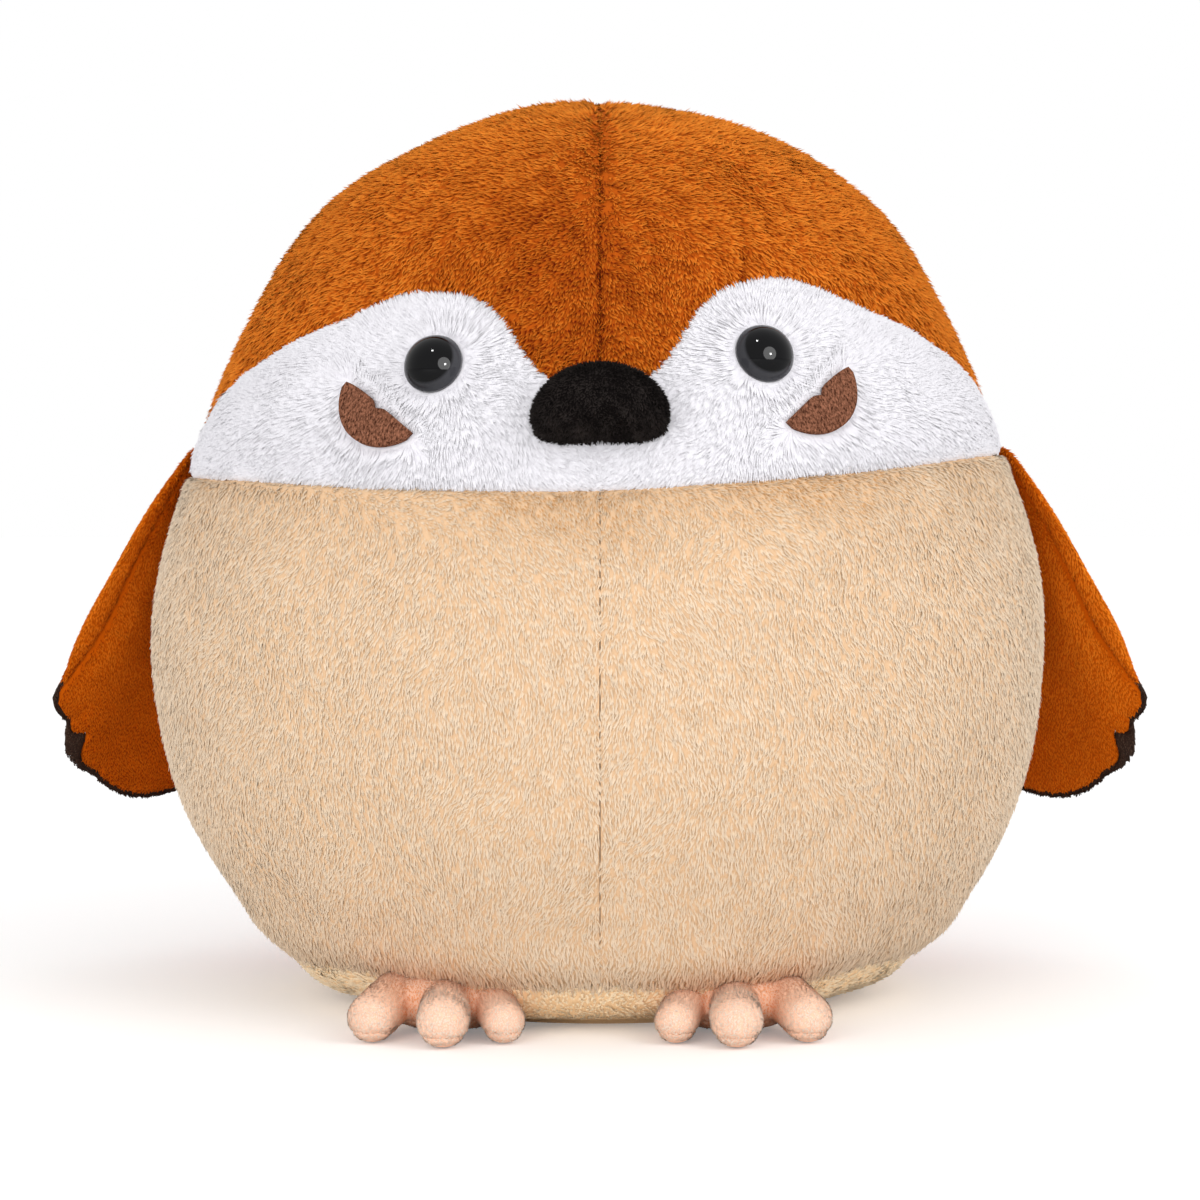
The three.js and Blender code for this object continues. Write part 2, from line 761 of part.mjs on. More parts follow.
function wingPieces(side) {
  const centre = new THREE.Vector2((wingFrontWidth - wingBackWidth) / 2, wingLength / 2);
  const flap = flapPieces(wingOutline(), centre, wingOuterBulge, wingInnerBulge, wingRimOverhang);
  const region = wingTipRegion();
  const aboveHem = moved(region, new THREE.Matrix4().makeTranslation(0, -seamGap, 0));
  const place = (solid) => seated(reshaped(solid, onWing), side);
  return {
    outer: place(flap.outer.subtract(aboveHem)),
    tip: place(flap.outer.intersect(region)),
    inner: place(flap.inner),
    filling: place(flap.filling),
  };
}

// Tail: a padded flap that stands out from the middle of the back

function tailPieces() {
  const root = tailRootWidth / 2;
  const tip = tailTipWidth / 2;
  const shape = new THREE.Shape();
  shape.moveTo(root, -tailSeat);
  shape.lineTo(-root, -tailSeat);
  const roundEnd = tailLength + tailCorner / 2;
  shape.quadraticCurveTo(-root, tailLength / 2, -tip, tailLength - tailCorner);
  shape.quadraticCurveTo(tailCorner / 2 - tip, roundEnd, 0, tailLength);
  shape.quadraticCurveTo(tip - tailCorner / 2, roundEnd, tip, tailLength - tailCorner);
  shape.quadraticCurveTo(root, tailLength / 2, root, -tailSeat);
  const centre = new THREE.Vector2(0, tailLength / 2);
  const flap = flapPieces(roundPoints(shape), centre, tailBulge, tailBulge, 0);
  const lift = radians(tailLift);
  const frame = new THREE.Matrix4().makeBasis(
    new THREE.Vector3(1, 0, 0),
    new THREE.Vector3(0, Math.cos(lift), Math.sin(lift)),
    new THREE.Vector3(0, -Math.sin(lift), Math.cos(lift)),
  ).setPosition(bodyPoint(180, latitudeAt(tailRootHeight)));
  const place = (solid) => seated(moved(solid, frame));
  return { top: place(flap.outer), under: place(flap.inner), filling: place(flap.filling) };
}

// The whole bird

const crown = (side) => bodyPanel(allAngles, side, crownLow, topOfHead, crownRows);
const belly = (side) => bodyPanel(frontAngles, side, baseLatitude, neckLatitude, trunkRows);
const back = (side) => bodyPanel(backAngles, side, baseLatitude, neckLatitude, trunkRows);

addPair('crown', onBothSides(crown), rustPlush);
addPair('face', onBothSides(facePanel), whiteFur);
addPair('belly', onBothSides(belly), beigePlush);
addPair('back', onBothSides(back), rustPlush);
addPiece('base_panel', basePanelSolid(), beigePlush);

addPiece('body_stuffing', stuffingSolid(), paddingFibre);

addPair('eye', onBothSides(eyeSolid), blackGlass);
addPair('eye_washer', onBothSides(eyeWasherSolid), milkyPlastic);
addPair('cheek', onBothSides(cheekSolid), brownFelt);

addPiece('beak_upper', onBeak(beakSkin.intersect(mouthSide(true))), blackPlush);
addPiece('beak_lower', onBeak(beakSkin.intersect(mouthSide(false))), blackPlush);
addPiece('beak_filling', onBeak(beakForm(beakClothThickness + fillingGap)), paddingFibre);

const wings = { left: wingPieces(1), right: wingPieces(-1) };
const wingCloths = { outer: rustPlush, inner: rustPlush, tip: darkBrownPlush, filling: paddingFibre };
Object.entries(wingCloths).forEach(([piece, material]) => {
  addPair('wing', { left: wings.left[piece], right: mirrored(wings.right[piece]) }, material, `_${piece}`);
});

for (const [side, name] of [[1, 'left'], [-1, 'right']]) {
  const foot = footPieces(side);
  addPiece(`foot_${name}_top`, foot.top, peachPlush);
  addPiece(`foot_${name}_sole`, foot.sole, peachPlush);
  addPiece(`foot_${name}_filling`, foot.filling, paddingFibre);
}

const tail = tailPieces();
addPiece('tail_top', tail.top, rustPlush);
addPiece('tail_under', tail.under, rustPlush);
addPiece('tail_filling', tail.filling, paddingFibre);

export default bird;
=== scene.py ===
# %% [markdown]
# # A round plush bird
#
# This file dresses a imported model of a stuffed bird. The model fixes every size and every place. What is
# made here is what the eye meets: pile fabric with its seams, felt, glossy eyes and stuffed toes.
#
# Lengths are written in millimetres, as a toy maker would, and turned into metres where a mesh is made.

import math
from contextlib import contextmanager

import bmesh
import bpy
import numpy as np
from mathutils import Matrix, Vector
from mathutils.bvhtree import BVHTree
from mathutils.kdtree import KDTree


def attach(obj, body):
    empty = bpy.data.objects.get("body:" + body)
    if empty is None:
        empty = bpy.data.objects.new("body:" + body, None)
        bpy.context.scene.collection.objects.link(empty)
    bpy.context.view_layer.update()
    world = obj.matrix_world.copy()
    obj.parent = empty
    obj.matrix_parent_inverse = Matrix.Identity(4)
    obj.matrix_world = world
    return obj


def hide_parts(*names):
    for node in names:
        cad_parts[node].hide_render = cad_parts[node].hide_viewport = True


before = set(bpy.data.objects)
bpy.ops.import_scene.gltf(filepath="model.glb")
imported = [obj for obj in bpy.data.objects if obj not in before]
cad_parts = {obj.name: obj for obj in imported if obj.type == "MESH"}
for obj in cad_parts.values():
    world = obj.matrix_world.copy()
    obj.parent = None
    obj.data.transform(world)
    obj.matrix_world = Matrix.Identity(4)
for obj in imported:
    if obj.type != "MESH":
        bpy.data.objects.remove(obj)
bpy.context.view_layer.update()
scene = bpy.context.scene
MM = 0.001
SIDES = (("left", 1), ("right", -1))
print("nodes in the frame:", len(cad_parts))

# %% [markdown]
# ## Helpers
#
# A few short functions do what every step needs: put a thing in the scene, open a mesh for changes, store
# numbers on its points, and add a node or a material whose inputs are already set.

# %% Helpers for meshes


def put(name, data):
    """A new object in the scene."""
    made = bpy.data.objects.new(name, data)
    scene.collection.objects.link(made)
    return made


@contextmanager
def editing(mesh):
    """A mesh open for changes, which are written back at the end."""
    work = bmesh.new()
    work.from_mesh(mesh)
    yield work
    work.to_mesh(mesh)
    work.free()


def store(mesh, **layers):
    """Keeps numbers or directions on the points of a mesh, each under its name."""
    for name, values in layers.items():
        values = np.asarray(values, np.float32)
        kind, field = ("FLOAT", "value") if values.ndim == 1 else ("FLOAT_VECTOR", "vector")
        mesh.attributes.new(name, kind, "POINT").data.foreach_set(field, values.ravel())


print("the sides of the bird:", dict(SIDES))

# %% Helpers for nodes


def set_input(tree, socket, value):
    """Joins an input to another node's socket, or gives it a plain value."""
    if isinstance(value, bpy.types.NodeSocket):
        tree.links.new(value, socket)
    else:
        socket.default_value = value


def feed(tree, node, **inputs):
    """Sets a node's inputs by name, with _ in place of a space."""
    for name, value in inputs.items():
        set_input(tree, node.inputs[name.replace("_", " ")], value)


def add_node(tree, kind, settings=None, **inputs):
    node = tree.nodes.new(kind)
    for name, value in (settings or {}).items():
        setattr(node, name, value)
    feed(tree, node, **inputs)
    return node


def math_node(tree, operation, *values, clamp=False):
    node = add_node(tree, "ShaderNodeMath", dict(operation=operation, use_clamp=clamp))
    for socket, value in zip(node.inputs, values):
        set_input(tree, socket, value)
    return node.outputs[0]


def new_material(name, **inputs):
    """A material, its tree and its shader, with the shader's inputs given by name."""
    material = bpy.data.materials.new(name)
    material.use_nodes = True
    shader = material.node_tree.nodes["Principled BSDF"]
    feed(material.node_tree, shader, **inputs)
    return material, material.node_tree, shader


print("materials before the bird:", len(bpy.data.materials))

# %% [markdown]
# ## Camera, floor and light
#
# The photograph was taken from far away with a long lens, a little above the bird's middle, so its
# width hardly changes from front to back. The camera stands where that view comes from. The light is a
# wide, soft studio light: an even world and two large panels. Three more lamps give the eyes their
# glints. They light nothing else, and the two panels don't light the eyes, where they would show as
# plain squares.

# %% Camera
AIM_HEIGHT = 168.5
CAMERA_DISTANCE = 1376
CAMERA_ELEVATION = 3.0
FOCAL_PIXELS = 3190
IMAGE_PIXELS = 1200
SENSOR_WIDTH = 36


def add_camera():
    data = bpy.data.cameras.new("camera")
    data.sensor_width = SENSOR_WIDTH
    data.lens = FOCAL_PIXELS / IMAGE_PIXELS * SENSOR_WIDTH
    camera = put("camera", data)
    rise = math.radians(CAMERA_ELEVATION)
    back = Vector((0, -math.cos(rise), math.sin(rise)))
    camera.location = Vector((0, 0, AIM_HEIGHT * MM)) + back * CAMERA_DISTANCE * MM
    camera.rotation_euler = (-back).to_track_quat("-Z", "Y").to_euler()
    scene.camera = camera
    return camera


camera = add_camera()
print("lens", round(camera.data.lens, 1), "mm")

# %% Floor and light
WORLD_LEVEL = 0.86
FLOOR_SIZE = 12.0
FLOOR_LIFT = 0.19
FLOOR_COLOUR, FLOOR_ROUGHNESS, FLOOR_SHINE = (0.95, 0.95, 0.95, 1), 0.9, 0.1
# name, place and size in metres, power in watts
PANEL_LIGHTS = [("key_light", (1.5, -1.4, 1.3), (1.3, 1.4), 13.3),
                ("fill_light", (-0.75, -1.85, 0.62), (1.2, 1.0), 10.6)]
EYE_LIGHTS = [("high_spark", (-0.45, -1.1, 2.1), (0.17, 0.17), 16.0),
              ("low_spark", (1.0, -1.7, 0.62), (0.2, 0.2), 16.0),
              ("soft_spark", (0.98, -1.85, 0.7), (1.7, 1.7), 62.0)]


def camera_white(tree, level):
    """A value that is 1 where the camera, a mirror or glass looks at it, and level where it lights."""
    ray = tree.nodes.new("ShaderNodeLightPath").outputs
    seen = math_node(tree, "MAXIMUM", ray["Is Camera Ray"], ray["Is Glossy Ray"])
    seen = math_node(tree, "MAXIMUM", seen, ray["Is Transmission Ray"])
    mix = add_node(tree, "ShaderNodeMix", dict(data_type="FLOAT"), Factor=seen, A=level, B=1.0)
    return mix.outputs["Result"]


def light_world():
    world = bpy.data.worlds.new("studio")
    scene.world = world
    world.use_nodes = True
    tree = world.node_tree
    feed(tree, tree.nodes["Background"], Color=(1, 1, 1, 1), Strength=camera_white(tree, WORLD_LEVEL))


def add_floor():
    mesh = bpy.data.meshes.new("floor")
    half = FLOOR_SIZE / 2
    corners = [(-half, -half, 0), (half, -half, 0), (half, half, 0), (-half, half, 0)]
    mesh.from_pydata(corners, [], [(0, 1, 2, 3)])
    material, tree, shader = new_material("pale_floor", Base_Color=FLOOR_COLOUR, Roughness=FLOOR_ROUGHNESS,
                                          Specular_IOR_Level=FLOOR_SHINE, Emission_Color=(1, 1, 1, 1))
    seen = tree.nodes.new("ShaderNodeLightPath").outputs["Is Camera Ray"]
    feed(tree, shader, Emission_Strength=math_node(tree, "MULTIPLY", seen, FLOOR_LIFT))
    mesh.materials.append(material)
    put("floor", mesh)


def add_panel_light(name, place, size, power):
    data = bpy.data.lights.new(name, "AREA")
    data.shape = "RECTANGLE"
    data.size, data.size_y = size
    data.energy = power
    light = put(name, data)
    light.location = place
    aim = Vector((0, 0, AIM_HEIGHT * MM)) - light.location
    light.rotation_euler = aim.to_track_quat("-Z", "Y").to_euler()
    return light


light_world()
add_floor()
panels = [add_panel_light(*light) for light in PANEL_LIGHTS]
sparks = [add_panel_light(*light) for light in EYE_LIGHTS]
sparks[-1].data.shape = "DISK"
scene.view_settings.view_transform = "Standard"

# %% [markdown]
# ## The body form
#
# The bird's body is one egg with a flat foot, wider than it is deep. A place on it is an angle round the
# upright axis (0 in front, positive to the bird's own left) and a latitude, from -90 at the rim of the
# flat foot over 0 at the widest height to 90 at the top of the head. A formula gives a smoother skin
# than any traced mesh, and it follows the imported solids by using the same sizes.

# %% Body sizes
BODY_WIDTH, BODY_DEPTH, BODY_HEIGHT = 384.0, 338.0, 382.0
WIDEST_HEIGHT = 150.0
CONTACT_WIDTH = 192.0
CROWN_FULLNESS = 0.022
LOWER_TAPER = 1.18
HEAD_TILT = 1.6
BASE_SEAM_HEIGHT = 20.0
NECK_SEAM_HEIGHT = 228.5
NECK_SEAM_DIP, NECK_DIP_POWER = 8.0, 3
SIDE_SEAM_ANGLE = 108.0
BROW_ANGLES = [0, 8, 16, 28, 46, 64, 86, SIDE_SEAM_ANGLE]
BROW_RISES = [34, 45, 69, 78, 64, 47, 25, 0]
SEAM_GAP = 0.4
DEPTH_RATIO = BODY_DEPTH / BODY_WIDTH


def profile(latitude):
    """Radius and height of the body at a latitude, in millimetres."""
    sine, cosine = np.sin(np.radians(latitude)), np.cos(np.radians(latitude))
    foot = CONTACT_WIDTH / 2
    under = foot * (latitude + 180) / 90
    low = foot + (BODY_WIDTH / 2 - foot) * np.maximum(cosine, 0) ** LOWER_TAPER
    high = BODY_WIDTH / 2 * (cosine - CROWN_FULLNESS * np.sin(2 * np.pi * sine**2))
    radius = np.where(latitude <= -90, under, np.where(latitude < 0, low, high))
    lower = WIDEST_HEIGHT * (1 + sine)
    upper = WIDEST_HEIGHT + (BODY_HEIGHT - WIDEST_HEIGHT) * sine
    height = np.where(latitude <= -90, 0, np.where(latitude < 0, lower, upper))
    return radius, height


def latitude_at(height):
    rise = np.asarray(height, float) - WIDEST_HEIGHT
    share = np.where(rise < 0, rise / WIDEST_HEIGHT, rise / (BODY_HEIGHT - WIDEST_HEIGHT))
    return np.degrees(np.arcsin(np.clip(share, -1, 1)))


def body_point(angle, latitude):
    angle, latitude = np.broadcast_arrays(np.asarray(angle, float), np.asarray(latitude, float))
    radius, height = profile(latitude)
    turn = np.radians(angle)
    return np.stack([radius * np.sin(turn), -DEPTH_RATIO * radius * np.cos(turn), height], -1)


def unit(vectors):
    return vectors / np.maximum(np.linalg.norm(vectors, axis=-1, keepdims=True), 1e-12)


def body_normal(angle, latitude):
    """The outward direction of the smooth form."""
    near, small = 89.9, 0.05
    held = np.clip(latitude, -near, near)
    across = body_point(angle + small, held) - body_point(angle - small, held)
    up = body_point(angle, held + small) - body_point(angle, held - small)
    out = unit(np.cross(across, up))
    down = np.broadcast_to([0.0, 0.0, -1.0], out.shape)
    return np.where((np.asarray(latitude) <= -90)[..., None], down, out)


def depth_in_body(points):
    """How far a point lies inside the body's form, measured level."""
    radius = profile(latitude_at(points[:, 2]))[0]
    return radius - np.hypot(points[:, 0], points[:, 1] / DEPTH_RATIO)


print("half the body's width:", body_point(90.0, 0.0).round(1)[0], "mm")

# %% Neck and brow lines


def tilt_rise(angle):
    radius = profile(latitude_at(NECK_SEAM_HEIGHT))[0]
    return math.tan(math.radians(HEAD_TILT)) * radius * np.sin(np.radians(angle))


def neck_height(angle):
    front = np.maximum(0, np.cos(np.radians(angle))) ** NECK_DIP_POWER
    return NECK_SEAM_HEIGHT - NECK_SEAM_DIP * front + tilt_rise(angle)


def smooth_curve(x, places, values):
    """A smooth line through a few points, with the slopes taken from their neighbours."""
    places, values = np.asarray(places, float), np.asarray(values, float)
    slopes = np.gradient(values, places)
    x = np.clip(x, places[0], places[-1])
    i = np.clip(np.searchsorted(places, x, side="right") - 1, 0, len(places) - 2)
    span = places[i + 1] - places[i]
    t = (x - places[i]) / span
    start = values[i] * (2 * t**3 - 3 * t**2 + 1) + slopes[i] * span * (t**3 - 2 * t**2 + t)
    return start + values[i + 1] * (3 * t**2 - 2 * t**3) + slopes[i + 1] * span * (t**3 - t**2)


def brow_height(angle):
    rise = smooth_curve(np.abs(angle), BROW_ANGLES, BROW_RISES)
    return neck_height(angle) + np.maximum(rise, 0)


print("height of the neck seam in front:", round(float(neck_height(0.0)), 1), "mm")

# %% [markdown]
# ## Seams
#
# Pile fabric is sewn face to face and turned out, so a seam is a valley with rounded shoulders. Every
# seam line is kept as a string of points. The distance to the nearest one sets how deep the cloth dips,
# and a few seams, where the panels lie nearly flat to each other, are drawn in less.

# %% Seam lines
SEAM_STEP = 1.0
MM_PER_DEGREE = 3.4


def seam_line(start, end, count, latitude_of):
    """Points of a seam that runs over angles from start to end."""
    angles = np.linspace(start, end, count)
    return body_point(angles, latitude_of(angles))


def upright_seam(angle, low, high):
    latitudes = np.linspace(low, high, int((high - low) * MM_PER_DEGREE / SEAM_STEP))
    return body_point(np.full_like(latitudes, angle), latitudes)


round_count = int(np.pi * BODY_WIDTH / SEAM_STEP)
base_latitude = float(latitude_at(BASE_SEAM_HEIGHT))
neck_latitude = lambda angle: latitude_at(neck_height(angle))
brow_latitude = lambda angle: latitude_at(brow_height(angle))
front_brow = float(brow_latitude(0.0))
seams = {
    "base": seam_line(-180, 180, round_count, lambda a: np.full_like(a, base_latitude)),
    "neck": seam_line(-180, 180, round_count, neck_latitude),
    "brow": seam_line(-SIDE_SEAM_ANGLE, SIDE_SEAM_ANGLE, round_count, brow_latitude),
    "crown_front": upright_seam(0.0, front_brow, 90),
    "crown_back": upright_seam(180.0, float(neck_latitude(180.0)), 90),
    "face_centre": upright_seam(0.0, float(neck_latitude(0.0)), front_brow),
    "belly_centre": upright_seam(0.0, base_latitude, float(neck_latitude(0.0))),
    "back_centre": upright_seam(180.0, base_latitude, float(neck_latitude(180.0))),
    "side_left": upright_seam(SIDE_SEAM_ANGLE, base_latitude, float(neck_latitude(SIDE_SEAM_ANGLE))),
    "side_right": upright_seam(-SIDE_SEAM_ANGLE, base_latitude, float(neck_latitude(-SIDE_SEAM_ANGLE))),
}


def nearest_distance(points, targets):
    """Distance of each point from the nearest of the targets."""
    tree = KDTree(len(targets))
    for i, target in enumerate(targets):
        tree.insert(target, i)
    tree.balance()
    return np.array([tree.find(point)[2] for point in points])


SEAM_SHARES = {"face_centre": 0.35, "belly_centre": 0.35, "base": 0.4, "crown_front": 0.5,
               "crown_back": 0.5}
seam_points = np.concatenate(list(seams.values()))
print("seams:", len(seams), "points:", len(seam_points))

# %% [markdown]
# ## Short curves, and noise that never changes
#
# Most formulas here are made of four curves: a ramp, a ramp with soft ends, a bell and the tuck of cloth at
# a seam. Fur also lies in drifts. A few slow waves added together make such a drift at any place, and a
# fixed seed keeps it the same in every run.

# %% Curves


def ramp(x, start, end):
    """0 at start, 1 at end and straight between them."""
    return np.clip((x - start) / (end - start), 0, 1)


def smooth_step(x, start, end):
    t = ramp(x, start, end)
    return t * t * (3 - 2 * t)


def bell(x, width):
    return np.exp(-((x / width) ** 2))


def tuck(distance, depth, width):
    """How far cloth is drawn in at a distance from a seam. It falls off like a quarter of a circle."""
    inside = np.clip(1 - distance / width, 0, 1)
    return depth * (1 - np.sqrt(1 - inside**2))


print("a bell at its own width:", round(float(bell(1.0, 1.0)), 3))

# %% Drift noise
WAVES, WAVE_SPREAD = 7, (0.5, 1.4)


def drift(points, size, seed):
    """Three smooth numbers between about -1 and 1 for each point. size is a drift's width in mm."""
    rng = np.random.default_rng(seed)
    turns = unit(rng.normal(size=(WAVES, 3, 3))) * (2 * np.pi / size)
    turns = turns * rng.uniform(*WAVE_SPREAD, (WAVES, 3, 1))
    starts = rng.uniform(0, 2 * np.pi, (WAVES, 3))
    waves = np.sin(np.einsum("ni,wci->nwc", points, turns) + starts)
    return waves.sum(1) / math.sqrt(WAVES)


print("drift at the crown:", drift(np.array([[0.0, 0.0, 380.0]]), 40, 1).round(2))

# %% [markdown]
# ## Meshes from grids
#
# A cloth panel is a shell: an outer skin, an inner skin and a rim that joins them. Both skins are grids
# of the same size, so the faces can be written down by counting.

# %% Mesh helpers
CLOTH_TONE, CLOTH_ALONG = 0.5, 0.3
DOUBLE_DISTANCE, DEGENERATE_DISTANCE = 0.002, 0.001


def add_mesh(name, points, faces):
    """A new object at the origin from points in millimetres."""
    mesh = bpy.data.meshes.new(name)
    mesh.from_pydata((np.asarray(points, float) * MM).tolist(), [], [list(f) for f in faces])
    with editing(mesh) as work:
        bmesh.ops.remove_doubles(work, verts=work.verts, dist=DOUBLE_DISTANCE * MM)
        bmesh.ops.dissolve_degenerate(work, edges=work.edges, dist=DEGENERATE_DISTANCE * MM)
    mesh.polygons.foreach_set("use_smooth", [True] * len(mesh.polygons))
    mesh.update()
    return put(name, mesh)


def grid_faces(columns, rows, first=0, ring=False):
    """Four-sided faces of a grid whose points are stored column by column."""
    last = columns if ring else columns - 1
    i, j = np.meshgrid(np.arange(last), np.arange(rows - 1), indexing="ij")
    here, after = i * rows + j, ((i + 1) % columns) * rows + j
    return np.stack([here, after, after + 1, here + 1], -1).reshape(-1, 4) + first


def shell_faces(columns, rows, ring=False):
    """Faces of a closed shell: outer grid, inner grid and the rim between them."""
    total = columns * rows
    outer = grid_faces(columns, rows, 0, ring)
    inner = grid_faces(columns, rows, total, ring)[:, ::-1]
    edges = []
    last = columns if ring else columns - 1
    for i in range(last):
        after = (i + 1) % columns
        edges.append((after * rows, i * rows))
        edges.append((i * rows + rows - 1, after * rows + rows - 1))
    if not ring:
        for j in range(rows - 1):
            edges.append((j, j + 1))
            edges.append(((columns - 1) * rows + j + 1, (columns - 1) * rows + j))
    rim = [(a, b, b + total, a + total) for a, b in edges]
    return np.concatenate([outer, inner, np.array(rim)])


def mark_cloth(made):
    """Gives bare cloth the attributes that the pile materials read."""
    count = len(made.data.vertices)
    store(made.data, tone=np.full(count, CLOTH_TONE), along=np.full(count, CLOTH_ALONG))


def settle(made, node, body, material):
    """Says what a piece is made of, which node it replaces and which body it moves with."""
    made.data.materials.append(material)
    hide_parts(node)
    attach(made, body)


def triangles_of(quads):
    return np.concatenate([quads[:, [0, 1, 2]], quads[:, [0, 2, 3]]])


def point_normals(points, triangles):
    a, b, c = (points[triangles[:, k]] for k in range(3))
    face = np.cross(b - a, c - a)
    total = np.zeros_like(points)
    for k in range(3):
        np.add.at(total, triangles[:, k], face)
    return unit(total)


print("a shell of 2 x 2 points has", len(shell_faces(2, 2)), "faces")

# %% [markdown]
# ## Finishes
#
# Pile fabric looks soft for three reasons: the roots lie in shade, the tips scatter light all round, and
# no two tufts have quite the same tone. One shader group mixes the colour from root to tip and varies it
# by tuft, a second gives the height of fine fibres, and sheen makes the tips scatter. Every pile material
# uses both groups with its own values. The shader itself stays in the material.

# %% Shader group: pile colour
ROOT_GAIN, TIP_GAIN, TIP_START = 2.2, 1.6, -0.6
DRIFT_DETAIL = 3.0


def new_group(name, inputs, outputs, kind="ShaderNodeTree"):
    """A node group, the sockets that it is given and the node that takes its result."""
    group = bpy.data.node_groups.new(name, kind)
    for label, socket_kind, value in inputs:
        socket = group.interface.new_socket(label, in_out="INPUT", socket_type="NodeSocket" + socket_kind)
        if value is not None:
            socket.default_value = value
    for label, socket_kind in outputs:
        group.interface.new_socket(label, in_out="OUTPUT", socket_type="NodeSocket" + socket_kind)
    return group, group.nodes.new("NodeGroupInput").outputs, group.nodes.new("NodeGroupOutput")


def mix_colour(tree, factor, first, second):
    node = add_node(tree, "ShaderNodeMix", dict(data_type="RGBA"))
    for label, kind, value in (("Factor", "VALUE", factor), ("A", "RGBA", first), ("B", "RGBA", second)):
        set_input(tree, next(s for s in node.inputs if s.name == label and s.type == kind), value)
    return next(s for s in node.outputs if s.type == "RGBA")


def attribute_node(tree, name):
    return add_node(tree, "ShaderNodeAttribute", dict(attribute_name=name)).outputs["Fac"]


def noise_node(tree, scale, detail, roughness=0.5, stretch=(1, 1, 1)):
    """Noise on the object's own coordinates. scale counts drifts in a metre."""
    place = tree.nodes.new("ShaderNodeTexCoord").outputs["Object"]
    mapping = add_node(tree, "ShaderNodeMapping", Vector=place, Scale=stretch)
    noise = add_node(tree, "ShaderNodeTexNoise", Vector=mapping.outputs["Vector"], Scale=scale,
                     Detail=detail, Roughness=roughness)
    return noise.outputs["Fac"]


def build_pile_colour():
    """Root to tip from dark to light, with a tone for each tuft and slow drifts over the cloth."""
    group, given, result = new_group(
        "pile colour",
        [("Root", "Color", (0, 0, 0, 1)), ("Middle", "Color", (0.5, 0.5, 0.5, 1)),
         ("Tip", "Color", (1, 1, 1, 1)), ("Tone Spread", "Float", 0.3), ("Drift Scale", "Float", 25.0),
         ("Drift Spread", "Float", 0.15)],
        [("Color", "Color")])
    centred = math_node(group, "SUBTRACT", attribute_node(group, "tone"), 0.5)
    seen = math_node(group, "MULTIPLY_ADD", centred, 0.5, attribute_node(group, "along"))
    low = math_node(group, "MULTIPLY", seen, ROOT_GAIN, clamp=True)
    high = math_node(group, "MULTIPLY_ADD", seen, TIP_GAIN, TIP_START, clamp=True)
    body = mix_colour(group, low, given["Root"], given["Middle"])
    body = mix_colour(group, high, body, given["Tip"])
    spread = math_node(group, "MULTIPLY", centred, given["Tone Spread"])
    slow = math_node(group, "SUBTRACT", noise_node(group, given["Drift Scale"], DRIFT_DETAIL), 0.5)
    slow = math_node(group, "MULTIPLY", slow, given["Drift Spread"])
    gain = math_node(group, "ADD", math_node(group, "ADD", spread, slow), 1.0)
    scaled = add_node(group, "ShaderNodeVectorMath", dict(operation="SCALE"), Vector=body, Scale=gain)
    feed(group, result, Color=scaled.outputs[0])
    return group


pile_colour = build_pile_colour()
print("group:", pile_colour.name)

# %% Shader group: fibre height
FIBRE_DETAIL, FIBRE_ROUGHNESS, FIBRE_STRETCH = 4.0, 0.65, (1, 1, 0.45)


def build_fibre_height():
    """Fine crossed fibres, as a height for a Bump node."""
    group, given, result = new_group(
        "fibre height", [("Scale", "Float", 900.0), ("Contrast", "Float", 1.6)], [("Height", "Float")])
    fine = noise_node(group, given["Scale"], FIBRE_DETAIL, FIBRE_ROUGHNESS, FIBRE_STRETCH)
    scaled = math_node(group, "MULTIPLY", math_node(group, "SUBTRACT", fine, 0.5), given["Contrast"])
    feed(group, result, Height=math_node(group, "ADD", scaled, 0.5, clamp=True))
    return group


fibre_height = build_fibre_height()
print("group:", fibre_height.name)

# %% Pile materials
SOFT_SHINE, SHEEN_ROUGHNESS = 0.06, 0.5
PILE_ROUGHNESS, FIBRE_STRENGTH, FIBRE_HEIGHT = 0.95, 0.35, 0.4


def linear(red, green, blue):
    """A colour as Blender stores it, from the 0 to 255 values of a picture."""
    values = []
    for value in (red, green, blue):
        share = value / 255
        values.append(share / 12.92 if share <= 0.04045 else ((share + 0.055) / 1.055) ** 2.4)
    return (*values, 1.0)


def use_group(tree, group, **values):
    return add_node(tree, "ShaderNodeGroup", dict(node_tree=group), **values).outputs[0]


def soft_material(name, roughness, sheen, tint):
    return new_material(name, Roughness=roughness, Specular_IOR_Level=SOFT_SHINE, Sheen_Weight=sheen,
                        Sheen_Roughness=SHEEN_ROUGHNESS, Sheen_Tint=tint)


def add_bump(tree, shader, height, strength, distance):
    bump = add_node(tree, "ShaderNodeBump", Strength=strength, Distance=distance * MM, Height=height)
    feed(tree, shader, Normal=bump.outputs["Normal"])


def pile_material(name, root, middle, tip, tone, drift_scale, drift_spread, sheen):
    root, middle, tip = linear(*root), linear(*middle), linear(*tip)
    material, tree, shader = soft_material(name, PILE_ROUGHNESS, sheen, tip)
    colour = use_group(tree, pile_colour, Root=root, Middle=middle, Tip=tip, Tone_Spread=tone,
                       Drift_Scale=drift_scale, Drift_Spread=drift_spread)
    feed(tree, shader, Base_Color=colour)
    add_bump(tree, shader, use_group(tree, fibre_height), FIBRE_STRENGTH, FIBRE_HEIGHT)
    return material


